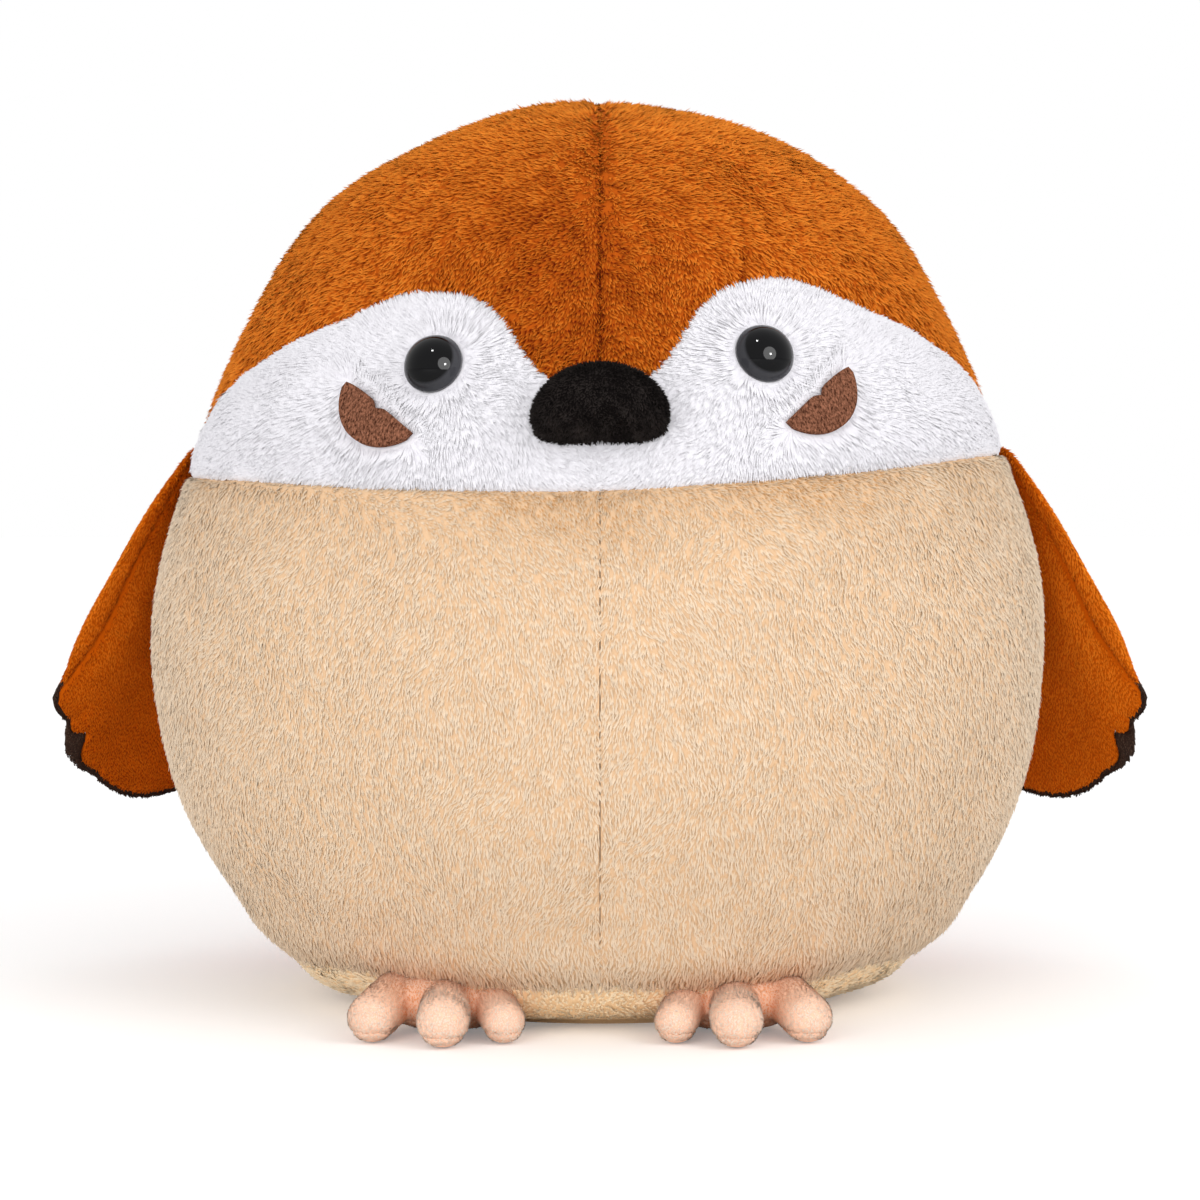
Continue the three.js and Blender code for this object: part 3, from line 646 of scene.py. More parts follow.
# each pile: colours at root, middle and tip, tone spread, drift scale and spread, sheen
PILES = {
    "rust_plush": ((122, 33, 3), (207, 100, 20), (236, 140, 48), 0.36, 22, 0.12, 0.22),
    "white_fur": ((235, 232, 239), (240, 238, 243), (243, 241, 246), 0.03, 30, 0.02, 0.05),
    "beige_plush": ((212, 156, 100), (233, 203, 169), (243, 223, 199), 0.14, 18, 0.05, 0.3),
    "black_plush": ((9, 7, 7), (24, 20, 19), (48, 43, 41), 0.6, 60, 0.2, 0.05),
    "dark_brown_plush": ((34, 22, 18), (60, 44, 37), (86, 68, 58), 0.4, 60, 0.2, 0.08),
    "peach_plush": ((255, 170, 116), (255, 224, 202), (255, 238, 222), 0.06, 60, 0.05, 0.12),
    # a paler copy of the beige plush for the base panel: painted light for the light that the white floor
    # throws up at it
    "base_plush_painted_light": ((250, 200, 146), (252, 220, 176), (254, 230, 196), 0.1, 18, 0.04, 0.22),
    "wing_plush": ((146, 50, 1), (216, 100, 4), (236, 134, 36), 0.3, 26, 0.1, 0.35),
}
materials = {name: pile_material(name + "_pile", *values) for name, values in PILES.items()}
print("pile materials:", ", ".join(sorted(materials)))

# %% [markdown]
# ## Growing the pile
#
# Each tuft is a slim leaf of four faces, with a ridge from its root to its tip, so that light catches one
# flank as it does on brushed fibres. Roots are spread evenly by area, and a Geometry Nodes tree sets a
# tuft on each, laid along the nap. That keeps a coat of forty thousand tufts to a few named inputs, and
# the same tree grows long fur and short velour. At the end the normals of the tufts are turned towards
# the cloth's own way out, so that a coat shades as one soft surface and not as thousands of blades.

# %% The tuft and its Geometry Nodes tree
TUFT_WIDTHS = 0.7, 1.3


def make_tuft():
    """One tuft, one unit long along Z, one unit wide along X, with its ridge towards Y."""
    points = [(0, 0.15, 0), (-0.5, -0.25, 0.48), (0.5, -0.25, 0.48), (0, 0.1, 1)]
    mesh = bpy.data.meshes.new("tuft")
    mesh.from_pydata(points, [], [(0, 1, 3), (0, 3, 2), (0, 2, 1), (3, 1, 2)])
    with editing(mesh) as work:
        bmesh.ops.recalc_face_normals(work, faces=work.faces)
    mesh.polygons.foreach_set("use_smooth", [True] * len(mesh.polygons))
    store(mesh, along=[0.0, 0.5, 0.5, 1.0])
    return put("tuft", mesh)


def build_pile_tree():
    """Sets a tuft on each root: lie and out turn it, and size is its length."""
    tree, given, result = new_group(
        "pile", [("Roots", "Geometry", None), ("Tuft", "Object", None), ("Width", "Float", None),
                 ("Roll", "Float", None), ("Seed", "Int", None), ("Material", "Material", None)],
        [("Pile", "Geometry")], "GeometryNodeTree")

    def attribute(name, kind):
        settings = dict(data_type=kind)
        return add_node(tree, "GeometryNodeInputNamedAttribute", settings, Name=name).outputs["Attribute"]

    def random_between(low, high, offset):
        node = add_node(tree, "FunctionNodeRandomValue", dict(data_type="FLOAT"),
                        Seed=math_node(tree, "ADD", given["Seed"], offset))
        for socket, value in zip([s for s in node.inputs if s.type == "VALUE" and s.enabled], (low, high)):
            set_input(tree, socket, value)
        return next(s for s in node.outputs if s.type == "VALUE" and s.enabled)

    one = add_node(tree, "GeometryNodeObjectInfo", Object=given["Tuft"])
    turn = add_node(tree, "FunctionNodeAxesToRotation", dict(primary_axis="Z", secondary_axis="Y"),
                    Primary_Axis=attribute("lie", "FLOAT_VECTOR"),
                    Secondary_Axis=attribute("out", "FLOAT_VECTOR"))
    back = math_node(tree, "MULTIPLY", given["Roll"], -1)
    roll = add_node(tree, "FunctionNodeAxisAngleToRotation", Axis=(0, 0, 1),
                    Angle=random_between(back, given["Roll"], 1))
    rotate = add_node(tree, "FunctionNodeRotateRotation", dict(rotation_space="LOCAL"),
                      Rotation=turn.outputs[0], Rotate_By=roll.outputs[0])
    width = math_node(tree, "MULTIPLY", given["Width"], random_between(*TUFT_WIDTHS, 2))
    size = add_node(tree, "ShaderNodeCombineXYZ", X=width, Y=width, Z=attribute("size", "FLOAT"))
    place = add_node(tree, "GeometryNodeInstanceOnPoints", Points=given["Roots"],
                     Instance=one.outputs["Geometry"], Rotation=rotate.outputs[0], Scale=size.outputs[0])
    real = add_node(tree, "GeometryNodeRealizeInstances", Geometry=place.outputs[0])
    paint = add_node(tree, "GeometryNodeSetMaterial", Geometry=real.outputs[0], Material=given["Material"])
    feed(tree, result, Pile=paint.outputs[0])
    return tree


tuft = make_tuft()
pile_tree = build_pile_tree()
print("a tuft has", len(tuft.data.polygons), "faces")

# %% Spread the roots
GOLDEN = 0.6180339887
SECOND_STEP = 0.7548776662


def spread_roots(points, normals, triangles, density, seed):
    """Roots by area: density is tufts in a square millimetre. Gives places and normals.

    Even steps fill a triangle, and each triangle starts at its own place, so that no rows show.
    """
    a, b, c = (points[triangles[:, k]] for k in range(3))
    areas = np.linalg.norm(np.cross(b - a, c - a), axis=1) / 2
    count = int(areas.sum() * density)
    edges = np.cumsum(areas)
    chosen = np.searchsorted(edges, (np.arange(count) + 0.5) / count * edges[-1])
    chosen = np.minimum(chosen, len(areas) - 1)
    steps = np.arange(count)
    starts = np.random.default_rng(seed).uniform(0, 1, (len(areas), 2))[chosen]
    u, v = (starts[:, 0] + steps * SECOND_STEP) % 1, (starts[:, 1] + steps * GOLDEN) % 1
    flip = u + v > 1
    u, v = np.where(flip, 1 - u, u), np.where(flip, 1 - v, v)
    w = 1 - u - v
    mix = lambda values: sum(k[:, None] * values[triangles[chosen, i]] for i, k in enumerate((w, u, v)))
    return mix(points), unit(mix(normals))


print("steps from root to root:", SECOND_STEP, "and", GOLDEN)

# %% Grow a coat
TUFT_LENGTHS = 0.75, 1.2
TONE_SCATTER, TONE_CLUMP_SIZE = 0.55, 1.6


def soften(grown, softness):
    """Normals of a grown coat: the cloth's own way out, turned a little to each flank of a tuft."""
    count = len(grown.vertices)
    places, out = np.empty(count * 3, np.float32), np.empty(count * 3, np.float32)
    grown.vertices.foreach_get("co", places)
    grown.attributes["out"].data.foreach_get("vector", out)
    places, out = places.reshape(-1, 4, 3), out.reshape(-1, 4, 3)
    flank = (1 - softness) * unit(places[:, 1] - places[:, 2])
    normals = out.copy()
    normals[:, 1] = unit(out[:, 1] * softness + flank)
    normals[:, 2] = unit(out[:, 2] * softness - flank)
    grown.normals_split_custom_set_from_vertices(normals.reshape(-1, 3).tolist())


def grow_pile(name, body, material, roots, out, nap, style, seed, lengths=1.0, shade=0.0, lift=0.0,
              facing=None):
    """Tufts on the roots. nap is the way the fibres lie, one for all or one each. style is a coat.

    lengths scales the tufts, shade moves their tone towards the root or the tip colour, which paints shade
    or light, and lift raises them by so many degrees. facing is the way that their normals look, where that
    is not straight out of the cloth.
    """
    rng = np.random.default_rng(seed)
    count = len(roots)
    wander = drift(roots, style["swirl_size"], seed) * style["swirl"]
    wander += rng.normal(0, style["stray"], (count, 3))
    wander += drift(roots, style["clump_size"], seed + 20) * style["clump"]
    flat = unit(nap) + wander
    flat = unit(flat - (flat * out).sum(1, keepdims=True) * out)
    lean = np.radians(style["lean"] - lift + rng.normal(0, style["lean_spread"], count))
    lie = flat * np.sin(lean)[:, None] + out * np.cos(lean)[:, None]
    size = style["length"] * rng.uniform(*TUFT_LENGTHS, count) * lengths
    clump = 0.5 + 0.5 * drift(roots, style["clump_size"] * TONE_CLUMP_SIZE, seed + 50)[:, 0]
    tone = np.clip(TONE_SCATTER * rng.uniform(0, 1, count) + (1 - TONE_SCATTER) * clump, 0, 1)
    tone = 0.5 + style["mottle"] * (tone - 0.5) + shade
    mesh = bpy.data.meshes.new(name + "_roots")
    mesh.vertices.add(count)
    mesh.vertices.foreach_set("co", ((roots - out * style["sink"]) * MM).astype(np.float32).ravel())
    store(mesh, lie=lie, out=out if facing is None else facing, size=size * MM, tone=tone)
    holder = put(name + "_roots", mesh)
    modifier = holder.modifiers.new("pile", "NODES")
    modifier.node_group = pile_tree
    values = {"Tuft": tuft, "Width": style["width"] * MM, "Roll": style["roll"], "Seed": seed,
              "Material": material}
    for item in pile_tree.interface.items_tree:
        if item.in_out == "INPUT" and item.name in values:
            modifier[item.identifier] = values[item.name]
    grown = bpy.data.meshes.new_from_object(holder.evaluated_get(bpy.context.evaluated_depsgraph_get()))
    grown.name = name
    bpy.data.objects.remove(holder)
    bpy.data.meshes.remove(mesh)
    made = put(name, grown)
    soften(grown, style["softness"])
    for spare in ("lie", "size", "out"):
        if spare in grown.attributes:
            grown.attributes.remove(grown.attributes[spare])
    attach(made, body)
    print(name, count, "tufts,", len(grown.polygons), "faces")


# %% Sizes of the coats
# Sizes are in millimetres and degrees, density in tufts to a square millimetre. sink is how deep a root
# sits, stray how far single tufts turn, softness how far a tuft's normals follow the cloth, and mottle
# how much the tufts differ in tone.
RUST_COAT = dict(length=4.8, width=1.05, lean=70, lean_spread=7, roll=0.5, sink=0.3,
                 swirl=0.35, swirl_size=42, stray=0.2, clump_size=7, clump=0.3,
                 density=0.68, softness=0.68, mottle=0.6)
BEIGE_COAT = dict(length=4.4, width=0.85, lean=76, lean_spread=4, roll=0.4, sink=0.3,
                  swirl=0.25, swirl_size=50, stray=0.16, clump_size=8, clump=0.2,
                  density=0.66, softness=0.88, mottle=0.38)
BACK_COAT = dict(RUST_COAT, width=1.35, density=0.42)
BASE_COAT = dict(BEIGE_COAT, length=3.6, width=1.3, density=0.5, softness=0.92)
FUR_COAT = dict(length=8.0, width=0.95, lean=85, lean_spread=2.5, roll=0.25, sink=0.15,
                swirl=0.3, swirl_size=30, stray=0.1, clump_size=9, clump=0.15,
                density=2.0, softness=1.0, mottle=0.25)
print("coats:", RUST_COAT["length"], BEIGE_COAT["length"], FUR_COAT["length"], "mm long")

# %% [markdown]
# ## Body panels
#
# Nine panels make the skin. Each is a shell whose outer face dips where it comes to a seam, as cloth does
# that is turned in and stitched. The grid lines crowd towards the seams, because the form changes there.

# %% How the skin lies
SKIN_LEVEL = -1.8
CLOTH_THICKNESS = 1.8
TUCK_DEPTH = 3.4
TUCK_WIDTH = 6.5
VALLEY_DEPTH = 1.3
VALLEY_WIDTH = 16.0
DENT_DEPTH = 1.1
DENT_SIZE = 95.0
FOOT_CALM = 6.0
# height, width and rise of the swells above and below the base seam
SHOULDERS = [(31.0, 9.0, 1.8), (10.5, 5.5, 2.0)]


def seam_dip(points):
    """How far the skin lies under the smooth form, from the distance to the nearest seam."""
    deepest = np.zeros(len(points))
    for share in {1.0, *SEAM_SHARES.values()}:
        lines = [line for name, line in seams.items() if SEAM_SHARES.get(name, 1.0) == share]
        near = nearest_distance(points, np.concatenate(lines))
        dip = tuck(near, TUCK_DEPTH, TUCK_WIDTH) + VALLEY_DEPTH * bell(near, VALLEY_WIDTH)
        deepest = np.maximum(deepest, share * dip)
    return deepest


def skin(angles, latitudes):
    """Outer and inner points of the cloth at the given places."""
    smooth = body_point(angles, latitudes)
    out = body_normal(angles, latitudes)
    flat = smooth.reshape(-1, 3)
    dip = seam_dip(flat).reshape(smooth.shape[:-1])
    dent = DENT_DEPTH * drift(flat, DENT_SIZE, seed=3)[:, 0].reshape(dip.shape)
    for height, width, rise in SHOULDERS:
        dent = dent + rise * bell(smooth[..., 2] - height, width)
    dent = dent * ramp(smooth[..., 2], 0, FOOT_CALM) ** 2
    outer = smooth + out * (SKIN_LEVEL - dip + dent)[..., None]
    return outer, outer - out * CLOTH_THICKNESS


print("cloth is drawn in by", TUCK_DEPTH, "mm at a seam")

# %% Panel shells


def crowded(count):
    """Shares from 0 to 1 that crowd towards both ends."""
    return 0.5 - 0.5 * np.cos(np.linspace(0, np.pi, count))


def panel_grid(start, end, columns, rows, low_of, high_of):
    angles = start + (end - start) * crowded(columns)
    shares = crowded(rows)
    low, high = low_of(angles), high_of(angles)
    high = np.maximum(low, high)
    latitudes = low[:, None] + (high - low)[:, None] * shares[None, :]
    return np.broadcast_to(angles[:, None], latitudes.shape), latitudes


def add_shell(name, node, material, outer, inner, ring=False):
    columns, rows = outer.shape[:2]
    points = np.concatenate([outer.reshape(-1, 3), inner.reshape(-1, 3)])
    made = add_mesh(name, points, shell_faces(columns, rows, ring))
    mark_cloth(made)
    settle(made, node, "body", material)


def outer_surface(outer):
    columns, rows = outer.shape[:2]
    points = outer.reshape(-1, 3)
    triangles = triangles_of(grid_faces(columns, rows))
    return points, point_normals(points, triangles), triangles


constant = lambda value: (lambda angles: np.full_like(angles, value))
crown_low = lambda a: np.where(np.abs(a) < SIDE_SEAM_ANGLE, brow_latitude(a), neck_latitude(a))
GAP_ANGLE = math.degrees(SEAM_GAP / 2 / (BODY_WIDTH / 2))
# each panel: its angles, columns and rows, its lower and upper edge, its slot and its coat
panel_plans = {
    "crown": ((GAP_ANGLE, 180 - GAP_ANGLE), 120, 60, crown_low, constant(90.0), "rust_plush", RUST_COAT),
    "face": ((GAP_ANGLE, SIDE_SEAM_ANGLE), 90, 30, neck_latitude, brow_latitude, "white_fur", FUR_COAT),
    "belly": ((GAP_ANGLE, SIDE_SEAM_ANGLE - GAP_ANGLE), 100, 72, constant(base_latitude), neck_latitude,
              "beige_plush", BEIGE_COAT),
    "back": ((SIDE_SEAM_ANGLE + GAP_ANGLE, 180 - GAP_ANGLE), 70, 72, constant(base_latitude),
             neck_latitude, "rust_plush", BACK_COAT),
}
panel_surfaces = {}
for kind, ((start, end), columns, rows, low_of, high_of, slot, coat) in panel_plans.items():
    for side, sign in SIDES:
        first, last = (start, end) if sign > 0 else (-end, -start)
        angles, latitudes = panel_grid(first, last, columns, rows, low_of, high_of)
        outer, inner = skin(angles, latitudes)
        name = f"{kind}_{side}"
        add_shell(name + "_cloth", name, materials[slot], outer, inner)
        panel_surfaces[name] = outer_surface(outer)
print("panels:", ", ".join(sorted(panel_surfaces)))

# %% [markdown]
# ## Base panel
#
# One oval panel closes the skin from below. Its flat middle carries the bird, and its rim turns up to the
# base seam. It is one grid that runs all round, so it has no seam of its own.

# %% Base panel
RIM_ROWS = 14
FLAT_ROWS = 16
BASE_COLUMNS = 160


def base_grid():
    angles = np.linspace(-180, 180, BASE_COLUMNS, endpoint=False)
    flat = np.linspace(-180, -90, FLAT_ROWS, endpoint=False)
    rim = -90 + (base_latitude + 90) * crowded(RIM_ROWS)
    latitudes = np.concatenate([flat, rim])
    grid = np.meshgrid(angles, latitudes, indexing="ij")
    outer, inner = skin(*grid)
    resting = np.minimum(outer[..., 2], 0)
    outer[..., 2] = np.maximum(outer[..., 2], 0)
    inner[..., 2] = np.maximum(inner[..., 2] - resting, CLOTH_THICKNESS)
    flat_part = grid[1] <= -90
    smooth = body_point(*grid)
    outer = np.where(flat_part[..., None], smooth, outer)
    inner = np.where(flat_part[..., None], smooth + [0, 0, CLOTH_THICKNESS], inner)
    return outer, inner


base_outer, base_inner = base_grid()
# the base panel wears the paler, painted-light copy of the beige plush
add_shell("base_panel_cloth", "base_panel", materials["base_plush_painted_light"],
          base_outer, base_inner, ring=True)
panel_surfaces["base_panel"] = outer_surface(np.concatenate([base_outer, base_outer[:1]]))
print("base panel stands on z =", round(float(base_outer[..., 2].min()), 3), "mm")

# %% [markdown]
# ## Places on the face
#
# Eyes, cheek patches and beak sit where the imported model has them. Each has a frame on the skin, and the
# fur leaves it room: no root grows under it, and the fibres round it point away.

# %% Face places
EYE_DIAMETER, EYE_RISE, EYE_SINK = 24.0, 8.5, 1.5
EYE_ANGLE, EYE_HEIGHT = 23.75, 269.4
EYE_SHANK_DIAMETER, EYE_SHANK_LENGTH = 5.0, 17.0
CHEEK_ANGLE, CHEEK_HEIGHT, CHEEK_CHORD, CHEEK_RISE, CHEEK_TILT = 31.3, 252.3, 41.0, 13.0, 37.5
BEAK_WIDTH, BEAK_THICKNESS, BEAK_REACH, BEAK_HEIGHT, BEAK_DROOP = 54.0, 29.0, 28.0, 250.0, 5.0
BEAK_MOUTH_DROP = 3.0
FACE_REACH, BEAK_FRAME_REACH = 30.0, 40.0


def stand_on(angle, height):
    """Origin, sideways, up and out of a frame on the skin."""
    latitude = float(latitude_at(height))
    out = body_normal(np.float64(angle), np.float64(latitude))
    up = np.array([0.0, 0.0, 1.0])
    up = unit(up - (up @ out) * out)
    return body_point(angle, latitude), np.cross(up, out), up, out


def pair_on(angle, height):
    """Frames at the same place on both sides of the tilted head."""
    return {side: stand_on(sign * angle, height + float(tilt_rise(sign * angle))) for side, sign in SIDES}


def turned(stand, degrees):
    origin, across, up, out = stand
    turn = math.radians(degrees)
    return (origin, across * math.cos(turn) + up * math.sin(turn),
            up * math.cos(turn) - across * math.sin(turn), out)


def local(points, stand):
    origin, across, up, out = stand
    return (points - origin) @ np.stack([across, up, out], 1)


def placed(points, stand):
    origin, across, up, out = stand
    return origin + points @ np.stack([across, up, out])


eye_frames = pair_on(EYE_ANGLE, EYE_HEIGHT)
cheek_frames = {side: turned(stand, dict(SIDES)[side] * CHEEK_TILT + HEAD_TILT)
                for side, stand in pair_on(CHEEK_ANGLE, CHEEK_HEIGHT).items()}
beak_frame = turned(stand_on(0.0, BEAK_HEIGHT), HEAD_TILT)
cheek_radius = (CHEEK_CHORD**2 / 4 + CHEEK_RISE**2) / (2 * CHEEK_RISE)


def in_cheek(points, margin):
    """True inside a cheek patch that is wider by margin all round."""
    found = np.zeros(len(points), bool)
    for stand in cheek_frames.values():
        x, y, z = local(points, stand).T
        inside = np.hypot(x, y - (cheek_radius - CHEEK_RISE)) < cheek_radius + margin
        found |= inside & (y < margin) & (np.abs(z) < FACE_REACH)
    return found


def in_eye(points, margin):
    found = np.zeros(len(points), bool)
    for stand in eye_frames.values():
        x, y, z = local(points, stand).T
        found |= (np.hypot(x, y) < EYE_DIAMETER / 2 + margin) & (np.abs(z) < FACE_REACH)
    return found


def in_beak(points, margin):
    x, y, z = local(points, beak_frame).T
    y = y + BEAK_DROOP * (x / (BEAK_WIDTH / 2)) ** 2
    inside = (x / (BEAK_WIDTH / 2 + margin)) ** 2 + (y / (BEAK_THICKNESS / 2 + margin)) ** 2 < 1
    return inside & (np.abs(z) < BEAK_FRAME_REACH)


print("eyes at", [tuple(f[0].round(0)) for f in eye_frames.values()])

# %% [markdown]
# ## Coats of the panels
#
# The nap runs down the body, as on a real bird. On the crown it also runs out from the centre seam. On
# the face the fur is puffed out all round each eye, so it makes a fringe over the rust and beige pile,
# longer towards the sides of the head.
#
# Where pile parts, its roots lie in shade: beside the stitches of the crown, in the short crease next to
# them, and under the neck seam. There the tone of the tufts is lowered, so a painted shade stands for a
# form. The front of the crown also gets a patch of painted shade and its top painted light, and the base
# panel is painted lighter where it faces the floor.

# %% Nap of each panel
UNDER_START, UNDER_END, UNDER_TURN = 50.0, 30.0, 0.7
CROWN_SPREAD_LOW, CROWN_SPREAD_HIGH, CROWN_SPREAD_LEAST, CROWN_SPREAD = 285.0, 350.0, 0.15, 1.5
SEAM_CALM = 9.0
FUR_BEND_REACH, FUR_BEND = 7.0, 2.5
RUFFLE_WIDTH, RUFFLE_ANGLE, RUFFLE_TURN, RUFFLE_LEVEL, RUFFLE_SIZE = 26.0, 45, 1.6, 0.6, 70
BASE_NAP_DROP = 20.0


def nap_down(points):
    """Straight down, and in under the body where the skin turns to its lower side."""
    flow = np.broadcast_to([0.0, 0.0, -1.0], points.shape).copy()
    low = ramp(points[:, 2], UNDER_START, UNDER_END)
    return flow - UNDER_TURN * low[:, None] * unit(points * [1, 1, 0])


def nap_crown(points):
    """Down and outwards. Near the beak it is mostly down, at the top mostly outwards."""
    flow = nap_down(points)
    share = np.maximum(ramp(points[:, 2], CROWN_SPREAD_LOW, CROWN_SPREAD_HIGH), CROWN_SPREAD_LEAST)
    flow[:, 0] += CROWN_SPREAD * share * np.clip(points[:, 0] / SEAM_CALM, -1, 1)
    return flow


def cheek_distance(points, stand):
    """Distance from a cheek patch in its own plane, and the direction that leads away from it."""
    x, y, _ = local(points, stand).T
    near_x = np.clip(x, -CHEEK_CHORD / 2, CHEEK_CHORD / 2)
    low = cheek_radius - CHEEK_RISE - np.sqrt(np.maximum(cheek_radius**2 - near_x**2, 0))
    near_y = np.clip(y, low, 0)
    away = np.stack([x - near_x, y - near_y], 1)
    distance = np.linalg.norm(away, axis=1)
    inside = distance < 0.01
    away[inside] = np.stack([x, y + CHEEK_RISE / 2], 1)[inside]
    return distance, unit(away) @ np.stack([stand[1], stand[2]])


def nap_face(points):
    """Out from each eye. Close to a cheek patch the fur bends away from it."""
    flow = np.zeros_like(points)
    for side, sign in SIDES:
        mine = points[:, 0] * sign >= 0
        here = unit(points[mine] - eye_frames[side][0])
        distance, away = cheek_distance(points[mine], cheek_frames[side])
        flow[mine] = here + FUR_BEND * bell(distance, FUR_BEND_REACH)[:, None] * away
    return flow


def under_neck(points):
    """Angle round the body in degrees, and the distance down from the neck seam."""
    angle = np.degrees(np.arctan2(points[:, 0], -points[:, 1] / DEPTH_RATIO))
    return angle, neck_height(angle) - points[:, 2]


def nap_belly(points):
    """Down, and ruffled sideways under the neck seam, in front only."""
    flow = nap_down(points)
    angle, under = under_neck(points)
    ruffle = np.exp(-((under / RUFFLE_WIDTH) ** 2) - (angle / RUFFLE_ANGLE) ** 2)
    flow[:, 0] += RUFFLE_TURN * ruffle * (RUFFLE_LEVEL + drift(points, RUFFLE_SIZE, seed=5)[:, 0])
    return flow


def nap_base(points):
    """Outwards from the middle and a little down."""
    return points * [1, 1, 0] - [0, 0, BASE_NAP_DROP]


naps = {"crown": nap_crown, "face": nap_face, "belly": nap_belly, "back": nap_down, "base": nap_base}
print("nap on the belly:", nap_belly(np.array([[0.0, -169.0, 150.0]])).round(2))

# %% Where pile is longer or stands up
BORDER_SHARE, BORDER_WIDTH = 0.42, 13.0
SIDE_FRINGE, SIDE_FRINGE_ANGLES = 0.5, (48.0, 75.0)
LIP_HEIGHT, LIP_GROWTH = 6.0, 1.1
FACE_LIFT, FACE_LIFT_REACH = 7.0, 3.0
FAR = 99.0


def border_lengths(points):
    """Fur is cut shorter where a panel ends, but overhangs the brow seam more towards the sides."""
    fringe = SIDE_FRINGE * ramp(np.abs(under_neck(points)[0]), *SIDE_FRINGE_ANGLES)
    lengths = 1.0
    for seam, share in (("neck", BORDER_SHARE), ("brow", BORDER_SHARE + fringe)):
        near = nearest_distance(points, seams[seam])
        lengths = np.minimum(lengths, share + (1 - share) * ramp(near, 0, BORDER_WIDTH))
    return lengths


def lip_lengths(points):
    """Pile is longer where it hangs over the base seam."""
    return 1 + LIP_GROWTH * bell(points[:, 2] - BASE_SEAM_HEIGHT, LIP_HEIGHT)


def face_lift(points):
    """Fur stands up where it meets an eye or a cheek patch, so that it hides the cloth there."""
    near = np.full(len(points), FAR)
    for side in ("left", "right"):
        x, y, _ = local(points, eye_frames[side]).T
        near = np.minimum(near, np.hypot(x, y) - EYE_DIAMETER / 2)
        near = np.minimum(near, cheek_distance(points, cheek_frames[side])[0])
    return FACE_LIFT * bell(np.maximum(near, 0), FACE_LIFT_REACH)


print("pile at the base seam is", 1 + LIP_GROWTH, "times as long")

# %% Painted shade and light on the pile
CROWN_SHADE_PLACE, CROWN_SHADE_SIZE, CROWN_SHADE = (-14.0, 296.0), 56.0, -0.55
# painted light: the top of the head is lighter
CROWN_TOP_START, CROWN_TOP_END, CROWN_TOP_PAINTED_LIGHT = 335.0, 380.0, 0.3
STITCH_SHADE, STITCH_WIDTH, STITCH_PITCH = -0.8, 1.7, 4.2
STITCH_LEVEL, STITCH_SWING, STITCH_LOSS_AT_TOP = 0.75, 0.35, 0.8
DART_PLACE, DART_HEIGHTS, DART_WIDTH, DART_SHADE = 55.0, (300.0, 316.0), 1.3, -0.7
BELLY_SHADE_WIDTH, BELLY_SHADE = 24.0, -0.75
BELLY_PATCH_LEVEL, BELLY_PATCH_SWING, BELLY_PATCH_SIZE = 0.8, 0.35, 60
BELLY_SIDE_SHARE, BELLY_FRONT_ANGLE, BELLY_FRONT_WIDTH = 0.3, 10, 30


def crown_shade(points):
    """Painted shade in a patch on the front of the crown, beside the stitches and in the short crease;
    painted light on the top of the head.
    """
    x, z = CROWN_SHADE_PLACE
    patch = CROWN_SHADE * bell(np.hypot(points[:, 0] - x, points[:, 2] - z), CROWN_SHADE_SIZE)
    top = ramp(points[:, 2], CROWN_TOP_START, CROWN_TOP_END)
    stitch = STITCH_SHADE * bell(points[:, 0], STITCH_WIDTH)
    stitch = stitch * (STITCH_LEVEL + STITCH_SWING * np.sin(2 * np.pi * points[:, 2] / STITCH_PITCH))
    stitch = stitch * (1 - STITCH_LOSS_AT_TOP * top)
    in_dart = (points[:, 2] > DART_HEIGHTS[0]) & (points[:, 2] < DART_HEIGHTS[1]) & (points[:, 1] < 0)
    dart = DART_SHADE * bell(points[:, 0] - DART_PLACE, DART_WIDTH) * in_dart
    return patch * (points[:, 1] < 0) + CROWN_TOP_PAINTED_LIGHT * top + stitch + dart


def belly_shade(points):
    """Painted shade under the neck seam, where the pile parts below the head, most of all in front."""
    angle, under = under_neck(points)
    patchy = BELLY_PATCH_LEVEL + BELLY_PATCH_SWING * drift(points, BELLY_PATCH_SIZE, seed=9)[:, 0]
    front = bell(angle - BELLY_FRONT_ANGLE, BELLY_FRONT_WIDTH)
    front = BELLY_SIDE_SHARE + (1 - BELLY_SIDE_SHARE) * front
    return BELLY_SHADE * patchy * front * bell(under, BELLY_SHADE_WIDTH)


print("crown stitches every", STITCH_PITCH, "mm")

# %% Coats of the skin
SEAM_PARTING = 0.6
EYE_MARGIN, CHEEK_MARGIN, BEAK_MARGIN, LOWEST_ROOT = 0.2, 0.6, -2.5, 3.5
